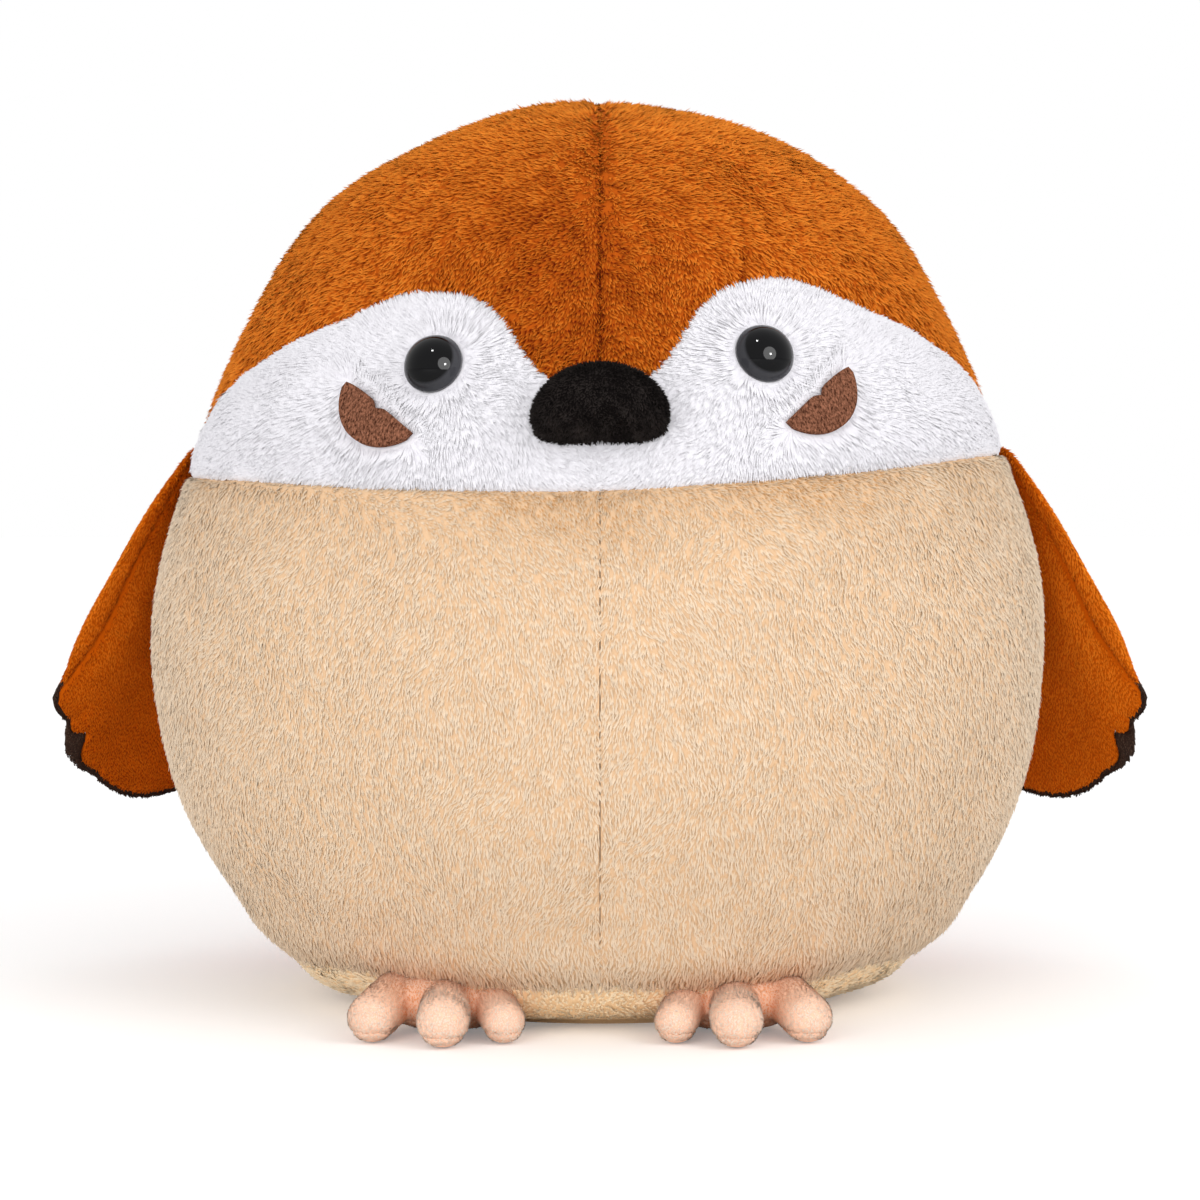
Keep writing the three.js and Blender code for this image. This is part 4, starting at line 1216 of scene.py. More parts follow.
# the base panel's pile is painted lighter, for the light that the white floor throws up at it, and its
# normals turn outwards
BASE_OUTWARD, BASE_PAINTED_LIGHT = 2.0, 0.4
for seed, (name, surface) in enumerate(sorted(panel_surfaces.items())):
    kind = name.split("_")[0]
    plan = panel_plans.get(kind)
    slot, coat = (plan[5], plan[6]) if plan else ("beige_plush", BASE_COAT)
    roots, out = spread_roots(*surface, coat["density"], seed)
    keep = ~(in_eye(roots, EYE_MARGIN) | in_cheek(roots, CHEEK_MARGIN) | in_beak(roots, BEAK_MARGIN))
    keep &= roots[:, 2] > LOWEST_ROOT
    if kind in ("crown", "back"):
        keep &= nearest_distance(roots, seam_points) > SEAM_PARTING
    roots, out = roots[keep], out[keep]
    lengths, shade, lift, facing = 1.0, 0.0, 0.0, None
    if kind == "face":
        lengths, lift = border_lengths(roots), face_lift(roots)
    elif kind == "crown":
        shade = crown_shade(roots)
    elif kind == "belly":
        lengths, shade = lip_lengths(roots), belly_shade(roots)
    elif kind == "base":
        facing, shade = unit(out + BASE_OUTWARD * unit(roots * [1, 1, 0])), BASE_PAINTED_LIGHT
    look = materials["base_plush_painted_light" if kind == "base" else slot]
    grow_pile(name + "_pile", "body", look, roots, out, naps[kind](roots), coat, seed + 10,
              lengths, shade, lift, facing)

# %% [markdown]
# ## Stuffing
#
# Inside the skin lies one soft mass of fibre. It follows the body a little way under the cloth, with a
# hollow behind each eye where the shank goes through. It shows only if a seam opens, but it fills the skin.

# %% Sheets


def open_edges(faces):
    """Edges that only one face has, as start and end points in that face's own direction."""
    start, end = faces.ravel(), np.roll(faces, -1, axis=1).ravel()
    real = start != end
    start, end = start[real], end[real]
    lone = ~np.isin(start * 10**7 + end, end * 10**7 + start)
    return start[lone], end[lone]


def merged(points, faces):
    """Points that fall together become one."""
    _, first, where = np.unique(np.round(points, 3), axis=0, return_index=True, return_inverse=True)
    return points[first], where.reshape(-1)[faces]


def used_only(points, faces):
    used, joined_faces = np.unique(faces, return_inverse=True)
    return points[used], joined_faces.reshape(-1, faces.shape[1])


def face_lists(faces):
    """Faces without repeated corners."""
    lists = [[corner for i, corner in enumerate(face) if corner != face[i - 1]] for face in faces.tolist()]
    return [face for face in lists if len(face) > 2]


def sheet_normals(points, faces):
    return point_normals(points, triangles_of(faces))


def sheet_roots(points, faces, density, seed):
    """Roots all over a sheet, with their normals."""
    spots, joined = used_only(*merged(points, faces))
    return spread_roots(spots, sheet_normals(spots, joined), triangles_of(joined), density, seed)


print("one square has", len(open_edges(np.array([[0, 1, 2, 3]]))[0]), "open edges")

# %% Cloth and fillings from any sheet


def add_cloth(name, node, body, slot, material, points, faces, thickness):
    """A closed shell: the sheet, a second skin under it, and a rim round its open edges."""
    points, faces = used_only(*merged(points, faces))
    inner = points - sheet_normals(points, faces) * thickness
    start, end = open_edges(faces)
    count = len(points)
    rim = np.stack([end, start, start + count, end + count], 1)
    whole = face_lists(np.concatenate([faces, faces[:, ::-1] + count, rim]))
    made = add_mesh(name, np.concatenate([points, inner]), whole)
    mark_cloth(made)
    settle(made, node, body, material)


def add_filling(name, node, body, points, faces):
    """A closed soft piece. Open ends of the sheet are covered."""
    points, faces = used_only(*merged(points, faces))
    made = add_mesh(name, points, face_lists(faces))
    with editing(made.data) as work:
        bmesh.ops.holes_fill(work, edges=work.edges)
        bmesh.ops.triangulate(work, faces=[face for face in work.faces if len(face.verts) > 4])
        bmesh.ops.recalc_face_normals(work, faces=work.faces)
    settle(made, node, body, fibre_material)


def cover(name, body, slot, look, sheet, thickness, coat, nap, seeds, keep=None, shade=0.0):
    """Cloth with its pile, from a sheet, which is a pair of points and faces.

    nap and shade are values or functions of the roots, and keep says which roots stay. The first seed
    spreads the roots and the second grows the tufts.
    """
    add_cloth(name + "_cloth", name, body, slot, look, *sheet, thickness)
    roots, out = sheet_roots(*sheet, coat["density"], seeds[0])
    if keep:
        chosen = keep(roots)
        roots, out = roots[chosen], out[chosen]
    nap, shade = (value(roots) if callable(value) else value for value in (nap, shade))
    grow_pile(name + "_pile", body, look, roots, out, nap, coat, seeds[1], shade=shade)


# %% Fibre and felt
SPECKLE_CONTRAST, SPECKLE_HEIGHT = 3.4, 0.5


def speckled_material(name, dark, light, scale, roughness, bump_strength, sheen=0.0):
    """Short loose fibres: fine noise mixes two colours and gives a height."""
    material, tree, shader = soft_material(name, roughness, sheen, light)
    fine = use_group(tree, fibre_height, Scale=scale, Contrast=SPECKLE_CONTRAST)
    feed(tree, shader, Base_Color=mix_colour(tree, fine, dark, light))
    add_bump(tree, shader, fine, bump_strength, SPECKLE_HEIGHT)
    return material


fibre_material = speckled_material("padding_fibre_look", linear(214, 208, 200), linear(240, 237, 232),
                                   scale=500, roughness=1.0, bump_strength=0.5)
felt_material = speckled_material("brown_felt_look", linear(56, 27, 15), linear(166, 110, 84),
                                  scale=1300, roughness=0.95, bump_strength=0.8, sheen=0.05)
print("finishes:", fibre_material.name, felt_material.name)

# %% Body stuffing
STUFFING_DEPTH = 9.5
EYE_HOLLOW_DEPTH, EYE_HOLLOW_RADIUS = 12.0, 9.0
STUFFING_COLUMNS, STUFFING_ROWS, STUFFING_FLAT_ROWS = 96, 60, 10


def add_stuffing():
    latitudes = np.concatenate([np.linspace(-180, -90, STUFFING_FLAT_ROWS, endpoint=False),
                                np.linspace(-90, 90, STUFFING_ROWS)])
    around = np.linspace(-180, 180, STUFFING_COLUMNS, endpoint=False)
    angles, levels = np.meshgrid(around, latitudes, indexing="ij")
    form = body_point(angles, levels)
    depth = np.full(angles.shape, STUFFING_DEPTH)
    for origin, _, _, _ in eye_frames.values():
        depth += EYE_HOLLOW_DEPTH * bell(np.linalg.norm(form - origin, axis=-1), EYE_HOLLOW_RADIUS)
    points = form - body_normal(angles, levels) * depth[..., None]
    points[..., 2] = np.maximum(points[..., 2], STUFFING_DEPTH / 3)
    faces = grid_faces(*angles.shape, ring=True)
    add_filling("body_filling", "body_stuffing", "body", points.reshape(-1, 3), faces)


add_stuffing()
print("stuffing lies", STUFFING_DEPTH, "mm under the form")

# %% [markdown]
# ## Eyes, washers and cheek patches
#
# The eyes are moulded domes on a shank, turned like any round part. Their middle is black, and a paler ring
# round it is a painted reflection of the white fur. Felt is cut flat, so the patch is one even sheet with
# an upright edge.

# %% Turned parts
LATHE_SIDES, DOME_POINTS = 72, 24
EYE_ROUGHNESS, EYE_SHINE = 0.05, 0.16
# where the painted reflection ring starts on the dome, and how sharp its inner edge is
EYE_REFLECTION_START, EYE_REFLECTION_SHARPNESS = 0.8, 14.0


def lathe(profile_points, stand):
    """A round part in a frame, from points (radius, height) that start and end on its axis."""
    radii, heights = np.asarray(profile_points, float).T
    turn = np.linspace(0, 2 * np.pi, LATHE_SIDES, endpoint=False)
    flat = np.stack([np.cos(turn)[:, None] * radii, np.sin(turn)[:, None] * radii,
                     np.broadcast_to(heights, (LATHE_SIDES, len(radii)))], -1)
    faces = grid_faces(LATHE_SIDES, len(radii), ring=True)
    return merged(placed(flat.reshape(-1, 3), stand), faces)


def arc_points(centre, radius, start, end, count):
    turn = np.radians(np.linspace(start, end, count))
    return [(centre[0] + radius * math.cos(a), centre[1] + radius * math.sin(a)) for a in turn]


def add_solid(name, node, body, material, points, faces):
    made = add_mesh(name, points, face_lists(faces))
    with editing(made.data) as work:
        bmesh.ops.recalc_face_normals(work, faces=work.faces)
    settle(made, node, body, material)
    return made


def eye_material():
    material, tree, shader = new_material("glossy_eye", Roughness=EYE_ROUGHNESS,
                                          Specular_IOR_Level=EYE_SHINE)
    # the paler ring at the dome's edge is a painted reflection of the white fur round the eye
    reflection_ring = math_node(tree, "MULTIPLY_ADD", attribute_node(tree, "rim"), EYE_REFLECTION_SHARPNESS,
                     -EYE_REFLECTION_SHARPNESS * EYE_REFLECTION_START, clamp=True)
    feed(tree, shader, Base_Color=mix_colour(tree, reflection_ring, linear(3, 3, 4), linear(42, 42, 45)))
    return material


glossy_eye = eye_material()
washer_material = new_material("washer_plastic_look", Base_Color=linear(226, 224, 220), Roughness=0.45,
                               Specular_IOR_Level=SOFT_SHINE)[0]
print("finishes:", glossy_eye.name, washer_material.name)

# %% Eyes and washers
EYE_LEVEL = 0.5
WASHER_DIAMETER, WASHER_BORE, WASHER_THICKNESS, WASHER_LEVEL = 20.0, 5.6, 2.2, -5.2


def eye_profile():
    radius = EYE_DIAMETER / 2
    ball = (radius**2 + EYE_RISE**2) / (2 * EYE_RISE)
    low = math.degrees(math.asin((ball - EYE_RISE) / ball))
    dome = arc_points((0, EYE_RISE - ball), ball, 90, low, DOME_POINTS)
    dome[0] = (0.0, EYE_RISE)
    shank = EYE_SHANK_DIAMETER / 2
    side = [(radius, -EYE_SINK), (shank, -EYE_SINK), (shank, -EYE_SHANK_LENGTH), (0.0, -EYE_SHANK_LENGTH)]
    return [(wide, height + EYE_LEVEL) for wide, height in dome + side]


sparkling, unlit = bpy.data.collections.new("sparkling"), bpy.data.collections.new("unlit")
for spark in sparks:
    spark.light_linking.receiver_collection = sparkling
for panel in panels:
    panel.light_linking.receiver_collection = unlit
for side, stand in eye_frames.items():
    points, faces = lathe(eye_profile(), stand)
    eye = add_solid(f"eye_{side}_dome", f"eye_{side}", "body", glossy_eye, points, faces)
    spots = np.array([v.co for v in eye.data.vertices]) / MM
    x, y, _ = local(spots, stand).T
    # rim, the distance from the eye's axis, places the painted reflection ring
    store(eye.data, rim=np.hypot(x, y).astype(np.float32) / (EYE_DIAMETER / 2))
    outer, inner, low = WASHER_DIAMETER / 2, WASHER_BORE / 2, WASHER_LEVEL
    high = low + WASHER_THICKNESS
    ring = [(inner, low), (outer, low), (outer, high), (inner, high), (inner, low)]
    points, faces = lathe(ring, stand)
    add_solid(f"eye_washer_{side}_ring", f"eye_washer_{side}", "body", washer_material,
              points, faces)
    print("eye", side, "reaches", np.round(spots.min(0), 1), np.round(spots.max(0), 1))
    sparkling.objects.link(eye)
    unlit.objects.link(eye)
    unlit.collection_objects[-1].light_linking.link_state = "EXCLUDE"

# %% Cheek patches
CHEEK_COLUMNS, CHEEK_ROWS = 44, 14
CHEEK_NOTCH_WIDTH, CHEEK_NOTCH_DEPTH = 2.5, 2.2
CHEEK_LOW, CHEEK_HIGH = -1.2, 1.0
FORM_COLUMNS, FORM_ROWS, DROP_START = 240, 120, 40.0
CHEEK_FULLNESS, CHEEK_LOWER, CHEEK_TRIM, CHEEK_OUTER_FULLNESS = 3.4, 1.0, 1.1, 0.55


def form_tree():
    """The smooth form as a tree that rays can hit."""
    angles, levels = np.meshgrid(np.linspace(-180, 180, FORM_COLUMNS, endpoint=False),
                                 np.linspace(-90, 90, FORM_ROWS), indexing="ij")
    points = body_point(angles, levels).reshape(-1, 3)
    return BVHTree.FromPolygons(points.tolist(), grid_faces(FORM_COLUMNS, FORM_ROWS, ring=True).tolist())


body_tree = form_tree()


def dropped(points, stand):
    """Points of a frame's plane dropped on the form, with the form's normals there."""
    out = stand[3]
    spots, normals = [], []
    for point in placed(np.column_stack([points, np.zeros(len(points))]), stand):
        hit, normal, _, _ = body_tree.ray_cast(Vector(point + out * DROP_START), Vector(-out))
        normal = np.array(normal)
        spots.append(hit)
        normals.append(normal if normal @ out > 0 else -normal)
    return np.array(spots), unit(np.array(normals))


def cheek_sheet(sign):
    """The half-moon: its chord with a small notch, its curved side below, blunt at its inner end."""
    x = (CHEEK_CHORD - CHEEK_TRIM) / 2 * np.sin(np.linspace(-np.pi / 2, np.pi / 2, CHEEK_COLUMNS))
    x = x - sign * CHEEK_TRIM / 2
    inward = 0.5 - sign * x / CHEEK_CHORD
    high = CHEEK_FULLNESS * (1 - (1 - 2 * inward) ** 4 * (inward < 0.5))
    high = high * (CHEEK_OUTER_FULLNESS + (1 - CHEEK_OUTER_FULLNESS) * inward)
    high = high - CHEEK_NOTCH_DEPTH * bell(x, CHEEK_NOTCH_WIDTH)
    low = cheek_radius - CHEEK_RISE - np.sqrt(cheek_radius**2 - x**2)
    low = low - CHEEK_LOWER * np.sqrt(np.clip(1 - (2 * x / CHEEK_CHORD) ** 2, 0, 1))
    low = np.minimum(low, high - 0.05)
    shares = np.linspace(0, 1, CHEEK_ROWS)
    y = low[:, None] + (high - low)[:, None] * shares
    return np.stack([np.broadcast_to(x[:, None], y.shape), y], -1)


for side, stand in cheek_frames.items():
    sheet = cheek_sheet(1 if side == "left" else -1)
    spots, normals = dropped(sheet.reshape(-1, 2), stand)
    shape = sheet.shape[:2]
    add_cloth(f"cheek_{side}_felt", f"cheek_{side}", "body", "brown_felt", felt_material,
              spots + normals * CHEEK_HIGH, grid_faces(*shape), CHEEK_HIGH - CHEEK_LOW)
print("cheek chord", CHEEK_CHORD, "mm")

# %% [markdown]
# ## Beak
#
# Two padded panels meet in the mouth seam, a little under the middle. The form is a rounded block that
# droops towards its corners. Its plush is very short, so its edge against the fur stays crisp.

# %% Beak shells
BEAK_ROUNDNESS = 0.86
BEAK_SIDES = 64
BEAK_COAT = dict(length=2.3, width=0.75, lean=48, lean_spread=12, roll=0.7, sink=0.3,
                 swirl=0.35, swirl_size=16, stray=0.3, clump_size=4, clump=0.3,
                 density=2.0, softness=0.6, mottle=0.8)
BEAK_BACK_ANGLE = 104
BEAK_CLOTH_LEVEL, BEAK_CLOTH, BEAK_PADDING_DEPTH = 1.2, 1.4, 2.0
BEAK_ROWS, BEAK_PADDING_ROWS = 26, 30
MOUTH_DEPTH, MOUTH_WIDTH = 1.6, 3.5
BEAK_NAP, BEAK_NAP_SPREAD = np.array([0.0, -0.4, -1.0]), 0.8


def rounded(values, power):
    return np.sign(values) * np.abs(values) ** power


def beak_sheet(start, end, rows, shrink=BEAK_CLOTH_LEVEL):
    """Part of the beak between two levels of its upright direction, from -1 to 1."""
    turn = np.radians(np.linspace(-BEAK_BACK_ANGLE, BEAK_BACK_ANGLE, BEAK_SIDES))
    lean = np.linspace(math.asin(start), math.asin(end), rows)
    turn, lean = np.meshgrid(turn, lean, indexing="ij")
    a, b, c = np.sin(turn) * np.cos(lean), np.sin(lean), np.cos(turn) * np.cos(lean)
    halves = np.array([BEAK_WIDTH / 2, BEAK_THICKNESS / 2, BEAK_REACH]) - shrink
    flat = np.stack([rounded(way, BEAK_ROUNDNESS) for way in (a, b, c)], -1) * halves
    flat[..., 1] -= BEAK_DROOP * (flat[..., 0] / (BEAK_WIDTH / 2)) ** 2
    return flat.reshape(-1, 3), grid_faces(BEAK_SIDES, rows)


def tucked(points, faces, distances, depth, width):
    """Draws cloth in along its normals near a seam."""
    return points - sheet_normals(points, faces) * tuck(distances, depth, width)[:, None]


def beak_nap(roots):
    return BEAK_NAP + BEAK_NAP_SPREAD * unit(roots - beak_frame[0])


mouth_share = -((BEAK_MOUTH_DROP / (BEAK_THICKNESS / 2)) ** (1 / BEAK_ROUNDNESS))
for part, start, end in (("lower", -1.0, mouth_share), ("upper", mouth_share, 1.0)):
    points, faces = beak_sheet(start, end, BEAK_ROWS)
    seam_level = -BEAK_MOUTH_DROP - BEAK_DROOP * (points[:, 0] / (BEAK_WIDTH / 2)) ** 2
    points = tucked(points, faces, np.abs(points[:, 1] - seam_level), MOUTH_DEPTH, MOUTH_WIDTH)
    cover(f"beak_{part}", "body", "black_plush", materials["black_plush"],
          (placed(points, beak_frame), faces), BEAK_CLOTH, BEAK_COAT, beak_nap, seeds=(3, 31))
points, faces = beak_sheet(-1.0, 1.0, BEAK_PADDING_ROWS, BEAK_CLOTH_LEVEL + BEAK_PADDING_DEPTH)
add_filling("beak_padding", "beak_filling", "body", placed(points, beak_frame), faces)

# %% [markdown]
# ## Wings and tail
#
# A wing is a flap: two panels sewn round an outline and lightly filled. The outer panel is larger and rolls
# over the front edge, so the seam lies a little inside the silhouette when seen from the front. The dark
# tip belongs to the outer side, and it peeps out round the lobes of the inner panel. Along the seam the
# inner panel's pile is left out, so that the dark hem stays clean.

# %% Flap outlines


def curve_outline(start, arcs, count):
    """Evenly spaced points of a closed outline made of curved arcs, each given by its bend and its end."""
    share = np.linspace(0, 1, 40, endpoint=False)[:, None]
    line, here = [], np.array(start, float)
    for bend, end in arcs:
        bend, end = np.array(bend, float), np.array(end, float)
        line.append(here * (1 - share) ** 2 + 2 * bend * share * (1 - share) + end * share**2)
        here = end
    line = np.concatenate(line)
    closed = np.concatenate([line, line[:1]])
    along = np.concatenate([[0], np.cumsum(np.linalg.norm(np.diff(closed, axis=0), axis=1))])
    places = np.linspace(0, along[-1], count, endpoint=False)
    return np.stack([np.interp(places, along, closed[:, k]) for k in (0, 1)], 1)


# flat places in mm: x towards the bird's front, y down from the root
WING_OUTLINE = curve_outline((21, 0), [
    ((44, 14), (44, 60)), ((44, 84), (44, 108)), ((51, 122), (35, 130)), ((35, 150), (14, 157)),
    ((-6, 176), (-36, 170)), ((-56, 164), (-52, 130)), ((-52, 85), (-48, 60)), ((-48, 14), (-21, 0)),
    ((0, 0), (21, 0))], 150)
WING_CENTRE = np.array([-4.0, 85.0])
TAIL_OUTLINE = curve_outline((27, -5), [
    ((0, -5), (-27, -5)), ((-27, 32), (-35, 52)), ((-29, 70), (0, 64)), ((29, 70), (35, 52)),
    ((27, 32), (27, -5))], 90)
TAIL_CENTRE = np.array([0.0, 32.0])
print("wing outline from", WING_OUTLINE.min(0).round(1), "to", WING_OUTLINE.max(0).round(1))

# %% Flap sheets
FLAP_CROWN = 2.6
FLAP_FULLNESS = 0.7
PUCKER_PITCH, PUCKER_HEIGHT, PUCKER_REACH = 8.0, 0.45, 7.0
FLAP_DENT, FLAP_DENT_SIZE, FLAP_DENT_START = 0.9, 55, 12
EDGE_CROWDING = 1.6
FLAP_SEAM_DEPTH, FLAP_SEAM_WIDTH = 1.9, 5.0
FLAP_CLOTH, PADDING_MARGIN = 1.6, 5.0


def flap_points(outline, centre, turns, rise_out, rise_in, margin=0.0):
    """Flat places of a flap's skin. turns run from 0 at the outer middle over 1 at the edge to 2."""
    spoke = outline - centre
    reach = np.linalg.norm(spoke, axis=1)[:, None]
    share = (1 - np.abs(turns - 1)) * (1 - margin / reach)
    height = (1 - np.minimum(1 - np.abs(turns - 1), 1) ** FLAP_CROWN) ** FLAP_FULLNESS
    z = np.where(turns < 1, rise_out * height, -rise_in * height)
    flat = centre + spoke[:, None, :] * share[..., None]
    return np.concatenate([flat, z[..., None]], -1)


def flap_panels(outline, centre, rolls, rise_out, rise_in, rows, seed):
    """The outer and the inner panel of a flap, in flat places. rolls say where the seam lies."""
    reach = np.linalg.norm(outline - centre, axis=1)
    seam = 1 + rolls / reach
    along = np.arange(len(outline)) * np.linalg.norm(np.diff(outline[:2], axis=0))
    ends = 1 - (1 - np.linspace(0, 1, rows)) ** EDGE_CROWDING
    panels = []
    for turns in (seam[:, None] * ends, 2 - (2 - seam)[:, None] * ends):
        points = flap_points(outline, centre, turns, rise_out, rise_in)
        away = np.abs(turns - seam[:, None]) * reach[:, None]
        points = points.reshape(-1, 3)
        faces = grid_faces(*turns.shape, ring=True)
        joined_points, joined_faces = merged(points, faces)
        normals = np.zeros_like(points)
        normals[faces] = sheet_normals(joined_points, joined_faces)[joined_faces]
        if normals[rows // 2 :: rows, 2].mean() * points[rows // 2 :: rows, 2].mean() < 0:
            normals, faces = -normals, faces[:, ::-1]
        depth = tuck(away, FLAP_SEAM_DEPTH, FLAP_SEAM_WIDTH)
        ripple = PUCKER_HEIGHT * np.sin(2 * np.pi * along / PUCKER_PITCH)[:, None]
        ripple = ripple * np.exp(-away / PUCKER_REACH)
        soft = FLAP_DENT * drift(points, FLAP_DENT_SIZE, seed)[:, 0].reshape(away.shape)
        soft = soft * ramp(away, 0, FLAP_DENT_START)
        points = points + normals * (ripple + soft - depth).reshape(-1, 1)
        panels.append((points, faces))
    return panels


def flap_padding(outline, centre, rises, rows):
    """Flat places of a flap's filling, and its faces."""
    turns = np.linspace(0, 2, rows)[None, :] * np.ones((len(outline), 1))
    flat = flap_points(outline, centre, turns, *rises, PADDING_MARGIN)
    return flat.reshape(-1, 3), grid_faces(*turns.shape, ring=True)


print("a flap's seam is drawn in by", FLAP_SEAM_DEPTH, "mm")

# %% Wings
WING_ROOT = np.array([171.272, 43.304, 234.0])
WING_LEAN, WING_HANG_ANGLE = 20.0, 62.0
WING_LENGTH, WING_BOW = 170.0, 3.5
WING_SWEEP_ROOT, WING_SWEEP_TIP, WING_UNTWIST_LENGTH = 74.0, 46.0, 120.0
WING_RISE_OUT, WING_RISE_IN = 9.6, 5.0
WING_ROWS, WING_PADDING_ROWS = 34, 30
GROOVE_SHADE, GROOVE_WIDTH, HEM_PARTING = 0.6, 3.0, 2.2
# painted light and shade by side: the bird's left wing is lighter and its right wing darker, as the light
# falls on them
WING_SIDE_PAINTED_LIGHT = {"left": 0.1, "right": -0.25}
WING_HEM, SCALLOP_WIDTH, SCALLOP_DROP = 108.0, 32.0, 14.0
WING_BACK_EDGE = -52.0
WING_SHADE_PLACE, WING_SHADE_WIDTH, WING_SHADE_LIMITS = 20.0, 36.0, (-0.5, 0.1)
WING_SHADE_HEIGHT, WING_SHADE_RUN, WING_HEIGHT_LIMITS = 145.0, 110.0, (-0.3, 0.35)
WING_PADDING_RISES = WING_RISE_OUT - 3, WING_RISE_IN - 2.6
WING_COAT = dict(length=2.4, width=0.75, lean=76, lean_spread=3, roll=0.3, sink=0.08,
                 swirl=0.3, swirl_size=35, stray=0.18, clump_size=7, clump=0.2,
                 density=1.1, softness=0.87, mottle=0.3)
TIP_COAT = dict(WING_COAT, length=1.5, mottle=0.8)
BACK_ROLL, ROLL_START, ROLL_FULL = 2.2, -12, 6
ROLL_PLACES = [0, 20, 60, 95, 112, 124, 133, 140, 146, 149, 153, 158, 166]
ROLL_WIDTHS = [5, 11, 12, 8, 3.0, 1.8, 2.4, 5.5, 12.5, 8, 3.4, 2.4, 2.2]


def level_out(degrees):
    turn = np.radians(degrees)
    return np.stack([np.sin(turn), np.cos(turn), np.zeros_like(turn)], -1)


WING_DOWN = level_out(np.float64(WING_HANG_ANGLE)) * math.sin(math.radians(WING_LEAN))
WING_DOWN = WING_DOWN - np.array([0, 0, math.cos(math.radians(WING_LEAN))])


def wing_place(flat, sign):
    """From flat places to the bird. The wing untwists on its way down."""
    untwist = smooth_step(flat[:, 1], 0, WING_UNTWIST_LENGTH)
    turn = np.radians(WING_SWEEP_ROOT + (WING_SWEEP_TIP - WING_SWEEP_ROOT) * untwist)
    across = np.stack([-np.cos(turn), np.sin(turn), np.zeros_like(turn)], -1)
    out = unit(np.cross(np.broadcast_to(WING_DOWN, across.shape), across))
    bow = WING_BOW * np.sin(np.pi * np.clip(flat[:, 1:2] / WING_LENGTH, 0, 1))
    spots = WING_ROOT + WING_DOWN * flat[:, 1:2] - across * flat[:, :1] + out * flat[:, 2:]
    spots = spots + level_out(np.float64(WING_HANG_ANGLE)) * bow
    return spots * [sign, 1, 1]


def wing_rolls():
    front = smooth_curve(WING_OUTLINE[:, 1], ROLL_PLACES, ROLL_WIDTHS)
    forward = smooth_step(WING_OUTLINE[:, 0], ROLL_START, ROLL_FULL)
    return BACK_ROLL + (front - BACK_ROLL) * forward


def below_hem(flat):
    """True on the dark tip. Its upper edge hangs in scallops."""
    place = ((flat[:, 0] - WING_BACK_EDGE) % SCALLOP_WIDTH) / SCALLOP_WIDTH
    hem = WING_HEM + SCALLOP_DROP * 2 * place * (1 - place)
    return flat[:, 1] > hem


print("seam inside the wing's edge:", wing_rolls().min().round(1), "to", wing_rolls().max().round(1), "mm")

# %% Sew and cover the wings


def wing_shade(roots, groove, tone):
    """Painted shade: darker close to the body, low down and in the groove of the seam; painted light high
    up.
    """
    shade = np.clip((-depth_in_body(roots) - WING_SHADE_PLACE) / WING_SHADE_WIDTH, *WING_SHADE_LIMITS)
    shade = shade + np.clip((roots[:, 2] - WING_SHADE_HEIGHT) / WING_SHADE_RUN, *WING_HEIGHT_LIMITS)
    # tone is the painted light or shade of this wing's side
    return shade + tone - GROOVE_SHADE * bell(nearest_distance(roots, groove), GROOVE_WIDTH)


for side, sign in SIDES:
    body = f"wing_{side}"
    outer, inner = flap_panels(WING_OUTLINE, WING_CENTRE, wing_rolls(), WING_RISE_OUT, WING_RISE_IN,
                               WING_ROWS, seed=61)
    for (flat, faces), parts in ((outer, ("outer", "tip")), (inner, ("inner",))):
        points = wing_place(flat, sign)
        groove = points[WING_ROWS - 1 :: WING_ROWS]
        faces = faces if sign > 0 else faces[:, ::-1]
        low = below_hem(flat)[faces].mean(1) > 0.5
        for part in parts:
            mine = {"inner": faces, "tip": faces[low], "outer": faces[~low]}[part]
            parting = HEM_PARTING if part == "inner" else SEAM_PARTING
            slot, look, coat = "rust_plush", materials["wing_plush"], WING_COAT
            shade = lambda roots: wing_shade(roots, groove, WING_SIDE_PAINTED_LIGHT[side])
            if part == "tip":
                slot, look, coat, shade = "dark_brown_plush", materials["dark_brown_plush"], TIP_COAT, 0.0
            cover(f"{body}_{part}", body, slot, look, (points, mine), FLAP_CLOTH, coat,
                  WING_DOWN * [sign, 1, 1], seeds=(7, 41),
                  keep=lambda roots: nearest_distance(roots, groove) > parting, shade=shade)
    flat, faces = flap_padding(WING_OUTLINE, WING_CENTRE, WING_PADDING_RISES, WING_PADDING_ROWS)
    add_filling(f"{body}_padding", f"{body}_filling", body, wing_place(flat, sign), faces)

# %% Tail
TAIL_ORIGIN = np.array([0.0, 161.3, 92.0])
TAIL_DROOP, TAIL_ROLL = 14.0, 1.0
TAIL_RISE, TAIL_PADDING_RISES = 8.0, (5.0, 5.0)
TAIL_ROWS, TAIL_PADDING_ROWS = 20, 20
TAIL_NAP = np.array([0.0, 1.0, -0.3])


def tail_place(flat):
    sine, cosine = math.sin(math.radians(TAIL_DROOP)), math.cos(math.radians(TAIL_DROOP))
    return TAIL_ORIGIN + flat @ np.array([[1, 0, 0], [0, cosine, sine], [0, -sine, cosine]])


top, under = flap_panels(TAIL_OUTLINE, TAIL_CENTRE, np.full(len(TAIL_OUTLINE), TAIL_ROLL), TAIL_RISE,
                         TAIL_RISE, TAIL_ROWS, seed=71)
for (flat, faces), part in ((top, "top"), (under, "under")):
    cover(f"tail_{part}", "tail", "rust_plush", materials["wing_plush"], (tail_place(flat), faces),
          FLAP_CLOTH, WING_COAT, TAIL_NAP, seeds=(8, 43))
flat, faces = flap_padding(TAIL_OUTLINE, TAIL_CENTRE, TAIL_PADDING_RISES, TAIL_PADDING_ROWS)
add_filling("tail_padding", "tail_filling", "tail", tail_place(flat), faces)

